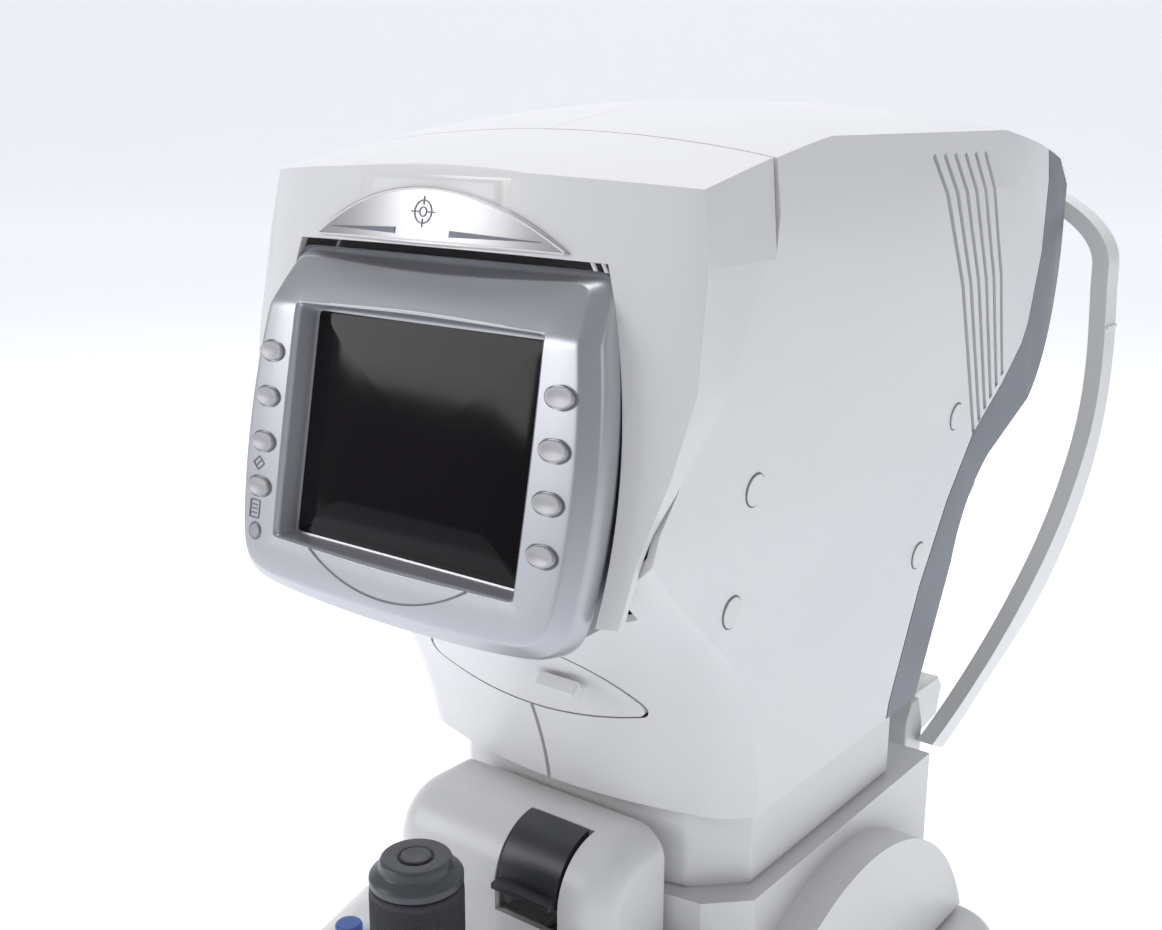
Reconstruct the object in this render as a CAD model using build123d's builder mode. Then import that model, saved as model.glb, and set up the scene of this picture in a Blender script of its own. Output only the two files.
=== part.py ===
from build123d import *
import os
from math import cos, pi, radians, sin

os.makedirs("parts", exist_ok=True)

# Tabletop autorefractor. X to the operator's right, Y from the operator to the patient, Z up.
# The origin is on the table, midway between the front of the deck and the back of the headrest.

# Driving dimensions, in millimetres.
DEPTH = 495.0
HEIGHT = 457.0
BASE_HALF_WIDTH = 130.0
WALL = 3.0
GAP = 0.5
RUN = 0.05

# Base
FOOT_HEIGHT = 8.0
FOOT_RADIUS = 12.0
FOOT_X = 104.0
FOOT_INSET = 28.0
BASE_TOP = 49.0
BASE_FRONT = -185.0
BASE_BACK = 104.0
TONGUE_HALF_WIDTH = 62.0
TONGUE_BACK = 146.0
PLATFORM_HALF_WIDTH = 55.0
PLATFORM_FRONT = -100.0
PLATFORM_BACK = 60.0
PLATFORM_TOP = 46.0

# Rack and pinion under the stage
TEETH = 16
PITCH_RADIUS = 12.0
TOOTH_PITCH = 2 * pi * PITCH_RADIUS / TEETH
PITCH_LINE = 56.0
AXLE_Z = PITCH_LINE + PITCH_RADIUS
AXLE_RADIUS = 4.0
RACK_X = 20.0
RACK_WIDTH = 8.0
RACK_LENGTH = 86.0
RACK_Y = -TOOTH_PITCH
TOOTH_DEPTH = 3.5
AXLE_HALF_LENGTH = 32.0
ROD_Y = 23.0
ROD_Z = 77.0
ROD_RADIUS = 4.0

# Stage
STAGE_BOTTOM = 52.0
STAGE_HALF_WIDTH = 90.0
STAGE_BACK = 84.0
LEDGE_TOP = 137.4
LEDGE_HALF_WIDTH = 88.0
LEDGE_FRONT = -106.5
DECK_FRONT = -DEPTH / 2
DECK_HIGH = 121.0
DECK_LOW = 82.0
CHASSIS_Z = 124.0
HUMP_TOP = 169.0
HUMP_HALF_WIDTH = 58.0
LEVER_PIVOT = (-129.0, 146.0)
LEVER_RADIUS = 24.3
LEVER_X = 19.5
LEVER_WIDTH = 30.0
JOYSTICK_Y = -196.0
JOYSTICK_PIVOT_Z = 84.0
JOYSTICK_TOP = 176.0
SLEEVE_RADIUS = 18.3
DOME_RADIUS = 25.0

# Head
HEAD_BOTTOM = 176.0
HEAD_LOW_HALF_WIDTH = 88.0
CHIN_Y = -114.5
HEAD_BACK_LOW = 60.0
HEAD_BACK_TOP = 203.0
EYE_Z = 339.0
POST_X = 50.0
POST_Y = -20.0
POST_RADIUS = 6.0
SCREW_Y = 25.0
SCREW_RADIUS = 5.0
BENCH_Z = 218.0
PLATEN = (-121.0, 231.0)
ROLL = (-112.0, 254.0)

# Monitor, in the plane of its screen
TILT = radians(10.9)
SCREEN = Plane(origin=(0, -196.5, EYE_Z), x_dir=(1, 0, 0), z_dir=(0, -cos(TILT), sin(TILT)))
SCREEN_SIDE = Plane(origin=SCREEN.origin, x_dir=SCREEN.z_dir, z_dir=(-1, 0, 0))
SCREEN_WIDTH = 115.2
SCREEN_HEIGHT = 86.4
FACE = 3.0
KEY_X = 69.9
KEY_ROWS = [25.0, 7.6, -9.8, -27.2]
LAMP_ROW = -44.6
HINGE_V = 55.0
HINGE_DEPTH = -17.0

# Headrest and chin rest
ARCH_FRONT = 228.0
ARCH_BACK = 246.0
ARCH_THICKNESS = 9.0
ARCH_SIDE = [(68, 100), (84, 148), (95.5, 187), (103.5, 230), (109, 285), (110.5, 330), (109, 372)]
ARCH_SHOULDER = 372.0
ARCH_RISE = 52.0
CHIN_POST_Y = 222.0
CHIN_CUP_Z = 231.0

pieces = {}


def rounded_plan(half_width, front, back, radius):
    """A rectangle in plan, symmetric in X, with rounded corners, in the sketch being built."""
    with Locations((0, (front + back) / 2)):
        RectangleRounded(2 * half_width, back - front, radius)


def bowed_plan(half_width, front, corner, back, bow):
    """A plan with straight sides, cut corners and a front that bows forward by bow."""
    with BuildLine() as outline:
        arc = ThreePointArc((-half_width + corner, front + bow), (0, front),
                            (half_width - corner, front + bow))
        Polyline(arc @ 1, (half_width, front + bow + corner), (half_width, back), (-half_width, back),
                 (-half_width, front + bow + corner), arc @ 0)
    make_face(outline.edges())


# ---------------------------------------------------------------- base
with BuildPart() as base_plate:
    with BuildSketch(Plane.XY.offset(FOOT_HEIGHT)):
        rounded_plan(BASE_HALF_WIDTH - 6, BASE_FRONT + 6, BASE_BACK - 6, 22)
        with Locations((0, (BASE_BACK + TONGUE_BACK) / 2 - 10)):
            Rectangle(2 * TONGUE_HALF_WIDTH - 12, TONGUE_BACK - BASE_BACK + 12)
    extrude(amount=5)
    with BuildSketch(Plane.XY.offset(FOOT_HEIGHT)):
        rounded_plan(PLATFORM_HALF_WIDTH, PLATFORM_FRONT, PLATFORM_BACK, 8)
    extrude(amount=PLATFORM_TOP - FOOT_HEIGHT)
    with BuildSketch(Plane.XY.offset(FOOT_HEIGHT)):
        rounded_plan(PLATFORM_HALF_WIDTH - 6, PLATFORM_FRONT + 6, PLATFORM_BACK - 6, 4)
    extrude(amount=PLATFORM_TOP - FOOT_HEIGHT - 8, mode=Mode.SUBTRACT)
pieces["base_plate"] = base_plate

with BuildPart() as base_cover:
    with BuildSketch(Plane.XY.offset(FOOT_HEIGHT)):
        rounded_plan(BASE_HALF_WIDTH, BASE_FRONT, BASE_BACK, 28)
        with Locations((0, (BASE_BACK + TONGUE_BACK) / 2 - 14)):
            RectangleRounded(2 * TONGUE_HALF_WIDTH, TONGUE_BACK - BASE_BACK + 28, 12)
    extrude(amount=BASE_TOP - FOOT_HEIGHT)
    fillet(base_cover.faces().sort_by(Axis.Z)[-1].edges(), 6)
    with BuildSketch(Plane.XY.offset(FOOT_HEIGHT)):
        rounded_plan(BASE_HALF_WIDTH - WALL, BASE_FRONT + WALL, BASE_BACK - WALL, 25)
        with Locations((0, (BASE_BACK + TONGUE_BACK) / 2 - 14)):
            Rectangle(2 * (TONGUE_HALF_WIDTH - WALL), TONGUE_BACK - BASE_BACK + 22)
    extrude(amount=BASE_TOP - FOOT_HEIGHT - WALL, mode=Mode.SUBTRACT)
    with BuildSketch(Plane.XY.offset(BASE_TOP - 10)):
        rounded_plan(PLATFORM_HALF_WIDTH + 1, PLATFORM_FRONT - 1, PLATFORM_BACK + 1, 9)
    extrude(amount=20, mode=Mode.SUBTRACT)
    # Aperture for the connector panel in the right side
    with BuildSketch(Plane.YZ.offset(BASE_HALF_WIDTH - 10)):
        with Locations((-20, 28)):
            Rectangle(92, 26)
    extrude(amount=20, mode=Mode.SUBTRACT)
pieces["base_cover"] = base_cover

with BuildPart() as rubber_feet:
    foot_rows = (BASE_FRONT + FOOT_INSET, BASE_BACK - FOOT_INSET)
    with Locations(*[(x, y, 0) for x in (-FOOT_X, FOOT_X) for y in foot_rows]):
        Cylinder(FOOT_RADIUS, FOOT_HEIGHT, align=(Align.CENTER, Align.CENTER, Align.MIN))
    fillet(rubber_feet.faces().group_by(Axis.Z)[0].edges(), 1.5)
pieces["rubber_feet"] = rubber_feet

with BuildPart() as gear_racks:
    with BuildSketch(Plane.YZ.offset(RACK_X - RACK_WIDTH / 2)):
        with Locations((RACK_Y, (PLATFORM_TOP + PITCH_LINE - 2) / 2)):
            Rectangle(RACK_LENGTH, PITCH_LINE - 2 - PLATFORM_TOP)
        count = int(RACK_LENGTH / TOOTH_PITCH) - 1
        for i in range(count):
            y = RACK_Y + (i - count // 2 + 0.5) * TOOTH_PITCH
            tooth_top = PITCH_LINE - 2.1 + TOOTH_DEPTH
            with BuildLine():
                Polyline((y - 1.2, PITCH_LINE - 2.1), (y - 0.55, tooth_top), (y + 0.55, tooth_top),
                         (y + 1.2, PITCH_LINE - 2.1), close=True)
            make_face()
    extrude(amount=RACK_WIDTH)
    mirror(about=Plane.YZ)
pieces["gear_racks"] = gear_racks

with BuildPart() as connector_panel:
    with BuildSketch(Plane.YZ.offset(BASE_HALF_WIDTH - WALL - 3.5)):
        with Locations((-20, 28)):
            Rectangle(90, 24)
        with Locations((-48, 28)):
            Rectangle(28, 20, mode=Mode.SUBTRACT)
        with Locations((-20, 28)):
            Rectangle(15, 20, mode=Mode.SUBTRACT)
        with Locations((2, 28), (16, 28)):
            Rectangle(9, 7, mode=Mode.SUBTRACT)
    extrude(amount=2.5)
pieces["connector_panel"] = connector_panel

PANEL_X = BASE_HALF_WIDTH - WALL - 1.0
with BuildPart() as power_inlet:
    with BuildSketch(Plane.YZ.offset(PANEL_X - 18)):
        with Locations((-48, 28)):
            RectangleRounded(27, 19, 2)
    extrude(amount=20)
    with BuildSketch(Plane.YZ.offset(PANEL_X + 2)):
        with Locations((-48, 28)):
            RectangleRounded(22, 14, 3)
    extrude(amount=-14, mode=Mode.SUBTRACT)
    with BuildSketch(Plane.YZ.offset(PANEL_X - 13)):
        with Locations((-55, 27), (-48, 30), (-41, 27)):
            Rectangle(2, 4)
    extrude(amount=11)
pieces["power_inlet"] = power_inlet

with BuildPart() as power_switch:
    with BuildSketch(Plane.XY.offset(19)):
        with BuildLine():
            Polyline((PANEL_X - 8, -20 - 5), (PANEL_X + 2.6, -20 - 5.4), (PANEL_X + 1.0, -20),
                     (PANEL_X + 0.2, -20 + 5.4),
                     (PANEL_X - 8, -20 + 5), close=True)
        make_face()
    extrude(amount=18)
pieces["power_switch"] = power_switch

# ---------------------------------------------------------------- headrest
with BuildPart() as headrest_frame:
    with BuildSketch(Plane.YZ):
        with BuildLine():
            front = Spline((112, 128), (140, 152), (173, 194), (203, 234), (221, 270), (ARCH_FRONT, 310),
                           tangents=[(1, 0.6), (0, 1)])
            Line(front @ 1, (ARCH_FRONT, 440))
            Line((ARCH_FRONT, 440), (ARCH_BACK, 440))
            Line((ARCH_BACK, 440), (ARCH_BACK, 300))
            back = Spline((ARCH_BACK, 300), (240, 258), (224, 220), (196, 178), (162, 142), (136, 116),
                          tangents=[(0, -1), (-1, -0.7)])
            Line(back @ 1, front @ 0)
        make_face()
    extrude(amount=120, both=True)
    with BuildSketch(Plane.XZ):
        with BuildLine():
            low = Spline(*ARCH_SIDE, tangents=[(0.35, 1), (0, 1)])
            EllipticalCenterArc((0, ARCH_SHOULDER), 109, ARCH_RISE, arc_size=90)
            mirror(about=Plane.YZ)
            Line((68, 100), (-68, 100))
        make_face()
        with BuildLine():
            inner = Spline(*[(x - ARCH_THICKNESS, z) for x, z in ARCH_SIDE], tangents=[(0.35, 1), (0, 1)])
            EllipticalCenterArc((0, ARCH_SHOULDER), 100, ARCH_RISE - ARCH_THICKNESS, arc_size=90)
            mirror(about=Plane.YZ)
            Line((59, 100), (-59, 100))
        make_face(mode=Mode.SUBTRACT)
    extrude(amount=300, both=True, mode=Mode.INTERSECT)
    # Eye level ridges on both pillars
    with Locations((110.3, (ARCH_FRONT + ARCH_BACK) / 2, EYE_Z)):
        Box(2, ARCH_BACK - ARCH_FRONT - 2, 1.6)
    with Locations((-110.3, (ARCH_FRONT + ARCH_BACK) / 2, EYE_Z)):
        Box(2, ARCH_BACK - ARCH_FRONT - 2, 1.6)
pieces["headrest_frame"] = headrest_frame

with BuildPart() as chinrest_housing:
    with BuildSketch(Plane.YZ):
        with BuildLine():
            Polyline((104, BASE_TOP), (104, 140), (110, 150), (118, 150), (132, 112), (ARCH_BACK - 8, 112),
                     (ARCH_BACK - 2, 104), (ARCH_BACK - 8, 86), (150, 74), (142, BASE_TOP), close=True)
        make_face()
    extrude(amount=66, both=True)
    with BuildSketch(Plane.XY.offset(BASE_TOP)):
        with BuildLine():
            Polyline((-66, 100), (66, 100), (66, 124), (27, 150), (27, 250), (-27, 250), (-27, 150), (-66, 124),
                     close=True)
        make_face()
    extrude(amount=120, mode=Mode.INTERSECT)
    with Locations((0, CHIN_POST_Y, 60)):
        Cylinder(9 + RUN, 80, align=(Align.CENTER, Align.CENTER, Align.MIN), mode=Mode.SUBTRACT)
    add(headrest_frame.part, mode=Mode.SUBTRACT)
pieces["chinrest_housing"] = chinrest_housing

with BuildPart() as forehead_pad:
    with BuildSketch(Plane.XY.offset(405)):
        with BuildLine():
            outer = ThreePointArc((-58, 247), (0, 239), (58, 247))
            inner = ThreePointArc((-58, 236), (0, 230), (58, 236))
            Line(outer @ 0, inner @ 0)
            Line(outer @ 1, inner @ 1)
        make_face()
    extrude(amount=24)
    add(headrest_frame.part, mode=Mode.SUBTRACT)
pieces["forehead_pad"] = forehead_pad

with BuildPart() as chinrest_post:
    with Locations((0, CHIN_POST_Y, 74)):
        Cylinder(9, CHIN_CUP_Z - 74, align=(Align.CENTER, Align.CENTER, Align.MIN))
pieces["chinrest_post"] = chinrest_post

with BuildPart() as chin_cup:
    with BuildSketch(Plane.XY.offset(CHIN_CUP_Z)):
        with Locations((0, CHIN_POST_Y)):
            Ellipse(30, 16)
    with BuildSketch(Plane.XY.offset(CHIN_CUP_Z + 8)):
        with Locations((0, CHIN_POST_Y)):
            Ellipse(46, 24)
    loft()
    with BuildSketch(Plane.XY.offset(CHIN_CUP_Z + 8)):
        with Locations((0, CHIN_POST_Y)):
            Ellipse(46, 24)
    extrude(amount=9)
    with BuildSketch(Plane.XZ.offset(-CHIN_POST_Y)):
        with Locations((0, CHIN_CUP_Z + 8 + 62)):
            Circle(57)
    extrude(amount=40, both=True, mode=Mode.SUBTRACT)
pieces["chin_cup"] = chin_cup

# ---------------------------------------------------------------- cross carriage
with BuildPart() as carriage_block:
    with Locations((0, 0, 75)):
        Box(60, 60, 20)
    with Locations((-RACK_X, 0, 70), (RACK_X, 0, 70)):
        Box(RACK_WIDTH + 3, 32, 32, mode=Mode.SUBTRACT)
    with BuildSketch(Plane.YZ):
        with Locations((0, AXLE_Z)):
            Circle(AXLE_RADIUS + RUN)
        with Locations((-ROD_Y, ROD_Z), (ROD_Y, ROD_Z)):
            Circle(ROD_RADIUS + RUN)
    extrude(amount=40, both=True, mode=Mode.SUBTRACT)
pieces["carriage_block"] = carriage_block

with BuildPart() as pinion_axle:
    with BuildSketch(Plane.YZ):
        with Locations((0, AXLE_Z)):
            Circle(AXLE_RADIUS)
    extrude(amount=AXLE_HALF_LENGTH, both=True)
    for side in (-1, 1):
        with BuildSketch(Plane.YZ.offset(side * RACK_X - RACK_WIDTH / 2)):
            with Locations((0, AXLE_Z)):
                Circle(PITCH_RADIUS - 1.8)
            for i in range(TEETH):
                with Locations(Location((0, AXLE_Z), 270 + i * 360 / TEETH)):
                    with Locations((PITCH_RADIUS - 0.6, 0)):
                        Trapezoid(2.2, 3.6, 80, rotation=-90)
        extrude(amount=RACK_WIDTH)
pieces["pinion_axle"] = pinion_axle

# ---------------------------------------------------------------- stage
with BuildPart() as guide_rods:
    with BuildSketch(Plane.YZ.offset(-79)):
        with Locations((-ROD_Y, ROD_Z), (ROD_Y, ROD_Z)):
            Circle(ROD_RADIUS)
    extrude(amount=158)
pieces["guide_rods"] = guide_rods

with BuildPart() as stage_chassis:
    with Locations((0, -12, CHASSIS_Z + 3)):
        Box(160, 130, 6)
    with Locations((-77, 0, (CHASSIS_Z + 68) / 2), (77, 0, (CHASSIS_Z + 68) / 2)):
        Box(6, 62, CHASSIS_Z - 68)
    with BuildSketch(Plane.YZ):
        with Locations((-ROD_Y, ROD_Z), (ROD_Y, ROD_Z)):
            Circle(ROD_RADIUS)
    extrude(amount=90, both=True, mode=Mode.SUBTRACT)
    with Locations((-POST_X, POST_Y), (POST_X, POST_Y)):
        Hole(POST_RADIUS)
    with Locations((0, SCREW_Y)):
        Hole(SCREW_RADIUS + RUN)
pieces["stage_chassis"] = stage_chassis

with BuildPart() as lift_posts:
    with Locations((-POST_X, POST_Y, CHASSIS_Z), (POST_X, POST_Y, CHASSIS_Z)):
        Cylinder(POST_RADIUS, 158, align=(Align.CENTER, Align.CENTER, Align.MIN))
pieces["lift_posts"] = lift_posts

with BuildPart() as lift_motor:
    with BuildSketch(Plane.XY.offset(CHASSIS_Z)):
        with Locations((0, SCREW_Y)):
            RectangleRounded(34, 34, 4)
    extrude(amount=-28)
    with Locations((0, SCREW_Y, CHASSIS_Z)):
        Cylinder(SCREW_RADIUS + 1, 40, mode=Mode.SUBTRACT)
pieces["lift_motor"] = lift_motor

with BuildPart() as lead_screw:
    with Locations((0, SCREW_Y, 105)):
        Cylinder(SCREW_RADIUS, 175, align=(Align.CENTER, Align.CENTER, Align.MIN))
pieces["lead_screw"] = lead_screw


def deck_solid(inset):
    """Sloping deck in front of the ledge, pulled in by inset all round."""
    with BuildPart() as deck:
        with BuildSketch(Plane.YZ):
            with BuildLine():
                rise = Line((-84, DECK_HIGH + 7 - inset), (DECK_FRONT + 10, DECK_LOW - inset))
                nose = TangentArc(rise @ 1, (DECK_FRONT + inset, DECK_LOW - 14), tangent=rise % 1)
                Polyline(nose @ 1, (DECK_FRONT + inset, STAGE_BOTTOM), (-84, STAGE_BOTTOM), rise @ 0)
            make_face()
        extrude(amount=STAGE_HALF_WIDTH - inset, both=True)
        edges = deck.edges().filter_by(Axis.Z).group_by(Axis.Y)[0]
        fillet(edges, 16 - inset)
    return deck.part


def ledge_solid(inset, low, high):
    """Upright block under the collar, pulled in by inset."""
    with BuildPart() as ledge:
        with BuildSketch(Plane.XY.offset(low)):
            bowed_plan(LEDGE_HALF_WIDTH - inset, LEDGE_FRONT - 4 + inset, 16, STAGE_BACK - inset, 6)
        extrude(amount=high - low)
    return ledge.part


def hump_solid(inset):
    """Rounded hump that carries the lock lever, pulled in by inset."""
    with BuildPart() as hump:
        with BuildSketch(Plane.YZ):
            with BuildLine():
                front = Line((-154 + inset, 100), (-154 + inset, 144))
                arc = TangentArc(front @ 1, (-129, HUMP_TOP - inset), tangent=(0, 1))
                Polyline(arc @ 1, (-111 - inset, HUMP_TOP - inset), (-111 - inset, 100), front @ 0)
            make_face()
        extrude(amount=HUMP_HALF_WIDTH - inset, both=True)
        edges = hump.edges().filter_by(Axis.Z).group_by(Axis.Y)[0]
        fillet(edges, 14 - inset)
    return hump.part


DOME_CENTRE = (0, JOYSTICK_Y, JOYSTICK_PIVOT_Z)
with BuildPart() as stage_cover:
    add(deck_solid(0))
    add(ledge_solid(0, STAGE_BOTTOM, LEDGE_TOP))
    add(hump_solid(0))
    add(deck_solid(WALL), mode=Mode.SUBTRACT)
    add(ledge_solid(WALL, STAGE_BOTTOM - 1, LEDGE_TOP - WALL), mode=Mode.SUBTRACT)
    add(hump_solid(WALL), mode=Mode.SUBTRACT)
    # Opening in the ledge inside the collar
    with BuildSketch(Plane.XY.offset(LEDGE_TOP - 10)):
        rounded_plan(70, -84, 46, 10)
    extrude(amount=20, mode=Mode.SUBTRACT)
    # Socket for the joystick
    with Locations((0, JOYSTICK_Y, 76)):
        Cylinder(DOME_RADIUS + 4, 22, align=(Align.CENTER, Align.CENTER, Align.MIN))
        Cylinder(DOME_RADIUS + 0.6, 60, align=(Align.CENTER, Align.CENTER, Align.MIN), mode=Mode.SUBTRACT)
    with BuildSketch(Plane.XZ.offset(-JOYSTICK_Y)):
        with Locations((0, JOYSTICK_PIVOT_Z)):
            Circle(2 + RUN)
    extrude(amount=40, both=True, mode=Mode.SUBTRACT)
    # Slot for the lock lever
    with Locations((LEVER_X, -150, 153.5)):
        Box(LEVER_WIDTH + 3, 42, 41, mode=Mode.SUBTRACT)
    # Ribs and pin that carry the lock lever
    lever_ends = (LEVER_X - LEVER_WIDTH / 2 - 3.5, LEVER_X + LEVER_WIDTH / 2 + 3.5)
    with Locations(*[(x, -130, 146) for x in lever_ends]):
        Box(3, 30, 30)
    with BuildSketch(Plane.YZ.offset(LEVER_X - LEVER_WIDTH / 2 - 3)):
        with Locations(LEVER_PIVOT):
            Circle(2.5)
    extrude(amount=LEVER_WIDTH + 6)
    # Seat for the deck button
    with Locations((-64, -174, 90)):
        Cylinder(6.3, 60, mode=Mode.SUBTRACT)
pieces["stage_cover"] = stage_cover

for name, side in (("left_fender", -1), ("right_fender", 1)):
    with BuildPart() as fender:
        with BuildSketch(Plane.YZ.offset(side * LEDGE_HALF_WIDTH)):
            with BuildLine():
                arch = ThreePointArc((-128, STAGE_BOTTOM), (-30, 127), (97, STAGE_BOTTOM))
                Line(arch @ 0, arch @ 1)
            make_face()
        extrude(amount=side * 17)
        with BuildSketch(Plane.YZ.offset(side * LEDGE_HALF_WIDTH)):
            with BuildLine():
                arch = ThreePointArc((-120, STAGE_BOTTOM), (-30, 121), (89, STAGE_BOTTOM))
                Line(arch @ 0, arch @ 1)
            make_face()
        extrude(amount=side * 14, mode=Mode.SUBTRACT)
        add(deck_solid(0), mode=Mode.SUBTRACT)
    pieces[name] = fender

with BuildPart() as collar:
    with BuildSketch(Plane.XY.offset(LEDGE_TOP)):
        bowed_plan(80, -106, 20, 52, 8)
    extrude(amount=206 - LEDGE_TOP)
    with BuildSketch(Plane.XY.offset(LEDGE_TOP)):
        bowed_plan(77, -103, 19, 49, 8)
    extrude(amount=206 - LEDGE_TOP, mode=Mode.SUBTRACT)
pieces["collar"] = collar

with BuildPart() as deck_button:
    with Locations((-64, -174, 96)):
        Cylinder(6, 14.5, align=(Align.CENTER, Align.CENTER, Align.MIN))
    fillet(deck_button.faces().sort_by(Axis.Z)[-1].edges(), 1.5)
pieces["deck_button"] = deck_button

with BuildPart() as lock_lever:
    with BuildSketch(Plane.YZ.offset(LEVER_X - LEVER_WIDTH / 2)):
        with Locations(LEVER_PIVOT):
            Circle(LEVER_RADIUS)
            Circle(LEVER_RADIUS - 3, mode=Mode.SUBTRACT)
        with BuildLine():
            py, pz = LEVER_PIVOT
            Polyline((py, pz), (py - 60, pz - 6), (py - 60, pz + 60), (py - 6, pz + 60), close=True)
        make_face(mode=Mode.INTERSECT)
        with BuildLine():
            Polyline((py - 22, pz - 2), (py - 29, pz - 1), (py - 29, pz + 1.5), (py - 22, pz + 2.5), close=True)
        make_face()
        with Locations(LEVER_PIVOT):
            Circle(6)
        with Locations((py - 13, pz)):
            Rectangle(18, 4)
        with Locations(LEVER_PIVOT):
            Circle(2.5 + RUN, mode=Mode.SUBTRACT)
    extrude(amount=LEVER_WIDTH)
pieces["lock_lever"] = lock_lever

# ---------------------------------------------------------------- joystick
with BuildPart() as gimbal_ring:
    with Locations(DOME_CENTRE):
        Cylinder(18, 7)
        Cylinder(14, 7, mode=Mode.SUBTRACT)
    with BuildSketch(Plane.XZ.offset(-JOYSTICK_Y + 15)):
        with Locations((0, JOYSTICK_PIVOT_Z)):
            Circle(2)
    extrude(amount=12)
    with BuildSketch(Plane.XZ.offset(-JOYSTICK_Y - 15)):
        with Locations((0, JOYSTICK_PIVOT_Z)):
            Circle(2)
    extrude(amount=-12)
    with BuildSketch(Plane.YZ):
        with Locations((JOYSTICK_Y, JOYSTICK_PIVOT_Z)):
            Circle(2 + RUN)
    extrude(amount=30, both=True, mode=Mode.SUBTRACT)
pieces["gimbal_ring"] = gimbal_ring

with BuildPart() as joystick_shaft:
    with Locations(DOME_CENTRE):
        Sphere(8.5)
    with Locations((0, JOYSTICK_Y, JOYSTICK_PIVOT_Z)):
        Cylinder(8, 166 - JOYSTICK_PIVOT_Z, align=(Align.CENTER, Align.CENTER, Align.MIN))
    with BuildSketch(Plane.YZ):
        with Locations((JOYSTICK_Y, JOYSTICK_PIVOT_Z)):
            Circle(2)
    extrude(amount=17.5, both=True)
    with Locations((0, JOYSTICK_Y, 165)):
        Cylinder(18, 7, align=(Align.CENTER, Align.CENTER, Align.MIN))
    with Locations((0, JOYSTICK_Y, 172)):
        Cone(18, 13.5, 3.5, align=(Align.CENTER, Align.CENTER, Align.MIN))
    with Locations((0, JOYSTICK_Y, 168)):
        Cylinder(6.3, 20, align=(Align.CENTER, Align.CENTER, Align.MIN), mode=Mode.SUBTRACT)
pieces["joystick_shaft"] = joystick_shaft

with BuildPart() as joystick_dome:
    with BuildSketch(Plane.YZ):
        with Locations((JOYSTICK_Y, JOYSTICK_PIVOT_Z)):
            Circle(DOME_RADIUS)
            Circle(DOME_RADIUS - 2, mode=Mode.SUBTRACT)
        with Locations((JOYSTICK_Y + 16.5, JOYSTICK_PIVOT_Z + 19)):
            Rectangle(17, 25, mode=Mode.INTERSECT)
    revolve(axis=Axis((0, JOYSTICK_Y, 0), (0, 0, 1)))
pieces["joystick_dome"] = joystick_dome

with BuildPart() as knob_sleeve:
    with BuildSketch(Plane.YZ):
        with BuildLine():
            y = JOYSTICK_Y
            side = Polyline((y + 8 + RUN, 124), (y + 13, 124))
            curve = TangentArc(side @ 1, (y + SLEEVE_RADIUS, 131), tangent=(1, 0))
            Polyline(curve @ 1, (y + SLEEVE_RADIUS, 164.5), (y + 8 + RUN, 164.5), side @ 0)
        make_face()
    revolve(axis=Axis((0, JOYSTICK_Y, 0), (0, 0, 1)))
pieces["knob_sleeve"] = knob_sleeve

with BuildPart() as start_button:
    with Locations((0, JOYSTICK_Y, 170)):
        Cylinder(6, JOYSTICK_TOP - 170, align=(Align.CENTER, Align.CENTER, Align.MIN))
pieces["start_button"] = start_button

# ---------------------------------------------------------------- head
SHELL_WIDTHS = [(HEAD_LOW_HALF_WIDTH, HEAD_BOTTOM), (94, 250), (99, 320), (104, 380), (104, 420), (99, 445)]
HOOD_WIDTHS = [(88, 262), (91, 284), (94.4, 309), (102, 339), (106.5, 366), (105, 405), (99, 441)]


CHIN_ROOM = 6.0
CHIN_RIBS = [(140, -111.5), (166, -113.2), (190, -117.4), (214, -126), (238, -139), (262, -160), (284, -186),
             (306, -208)]
CHIN_LIP = -232.0
CHIN_TOP = 330.0
SEAM_GAP = 1.0
CHIN_SPLIT_TOP = 226.0
CROWN_RIBS = [(-240, 424), (-163, 437.5), (-35, 456.8), (161, 441), (240, 424)]
CROWN_DROP = 10.0
HOOD_LOW = 288.0


def crown_form(inset):
    """Volume below the crowned top of the head, pulled in by inset."""
    with BuildPart() as crown:
        for y, z in CROWN_RIBS:
            with BuildSketch(Plane.XZ.offset(-y)):
                with BuildLine() as rib:
                    edge = z - CROWN_DROP - inset
                    arc = ThreePointArc((-112, edge), (0, z - inset), (112, edge))
                    Polyline(arc @ 1, (112, 100), (-112, 100), arc @ 0)
                make_face(rib.edges())
        loft()
    return crown.part


def tail_form(inset):
    """Volume inside the sides of the head where they draw in towards the back, pulled in by inset."""
    with BuildPart() as tail:
        with BuildSketch(Plane.XY.offset(100)):
            with BuildLine() as plan:
                right = ThreePointArc((108 - inset, -20), (101.8 - inset, 120), (91 - inset, 204))
                left = ThreePointArc((-108 + inset, -20), (-101.8 + inset, 120), (-91 + inset, 204))
                Polyline(right @ 1, (91 - inset, 260), (-91 + inset, 260), left @ 1)
                Polyline(right @ 0, (108 - inset, -260), (-108 + inset, -260), left @ 0)
            make_face(plan.edges())
        extrude(amount=400)
    return tail.part


def chin_form(inset):
    """Volume behind the rounded front of the head below the monitor, pulled in by inset."""
    with BuildPart() as chin:
        for z, y in CHIN_RIBS + [(CHIN_TOP + inset, CHIN_LIP)]:
            half = 90 + (z - 170) / 14 - inset
            front = y + inset
            with BuildSketch(Plane.XY.offset(z)):
                with BuildLine() as rib:
                    bow = ThreePointArc((-66, front + 10), (0, front), (66, front + 10))
                    right = ThreePointArc(bow @ 1, (half / 2 + 36, front + 17), (half, front + 31))
                    left = ThreePointArc(bow @ 0, (-half / 2 - 36, front + 17), (-half, front + 31))
                    Polyline(right @ 1, (half, 260), (-half, 260), left @ 1)
                make_face(rib.edges())
        loft()
        with Locations((0, 0, CHIN_TOP + inset)):
            Box(260, 600, 220, align=(Align.CENTER, Align.CENTER, Align.MIN))
    return chin.part


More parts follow.
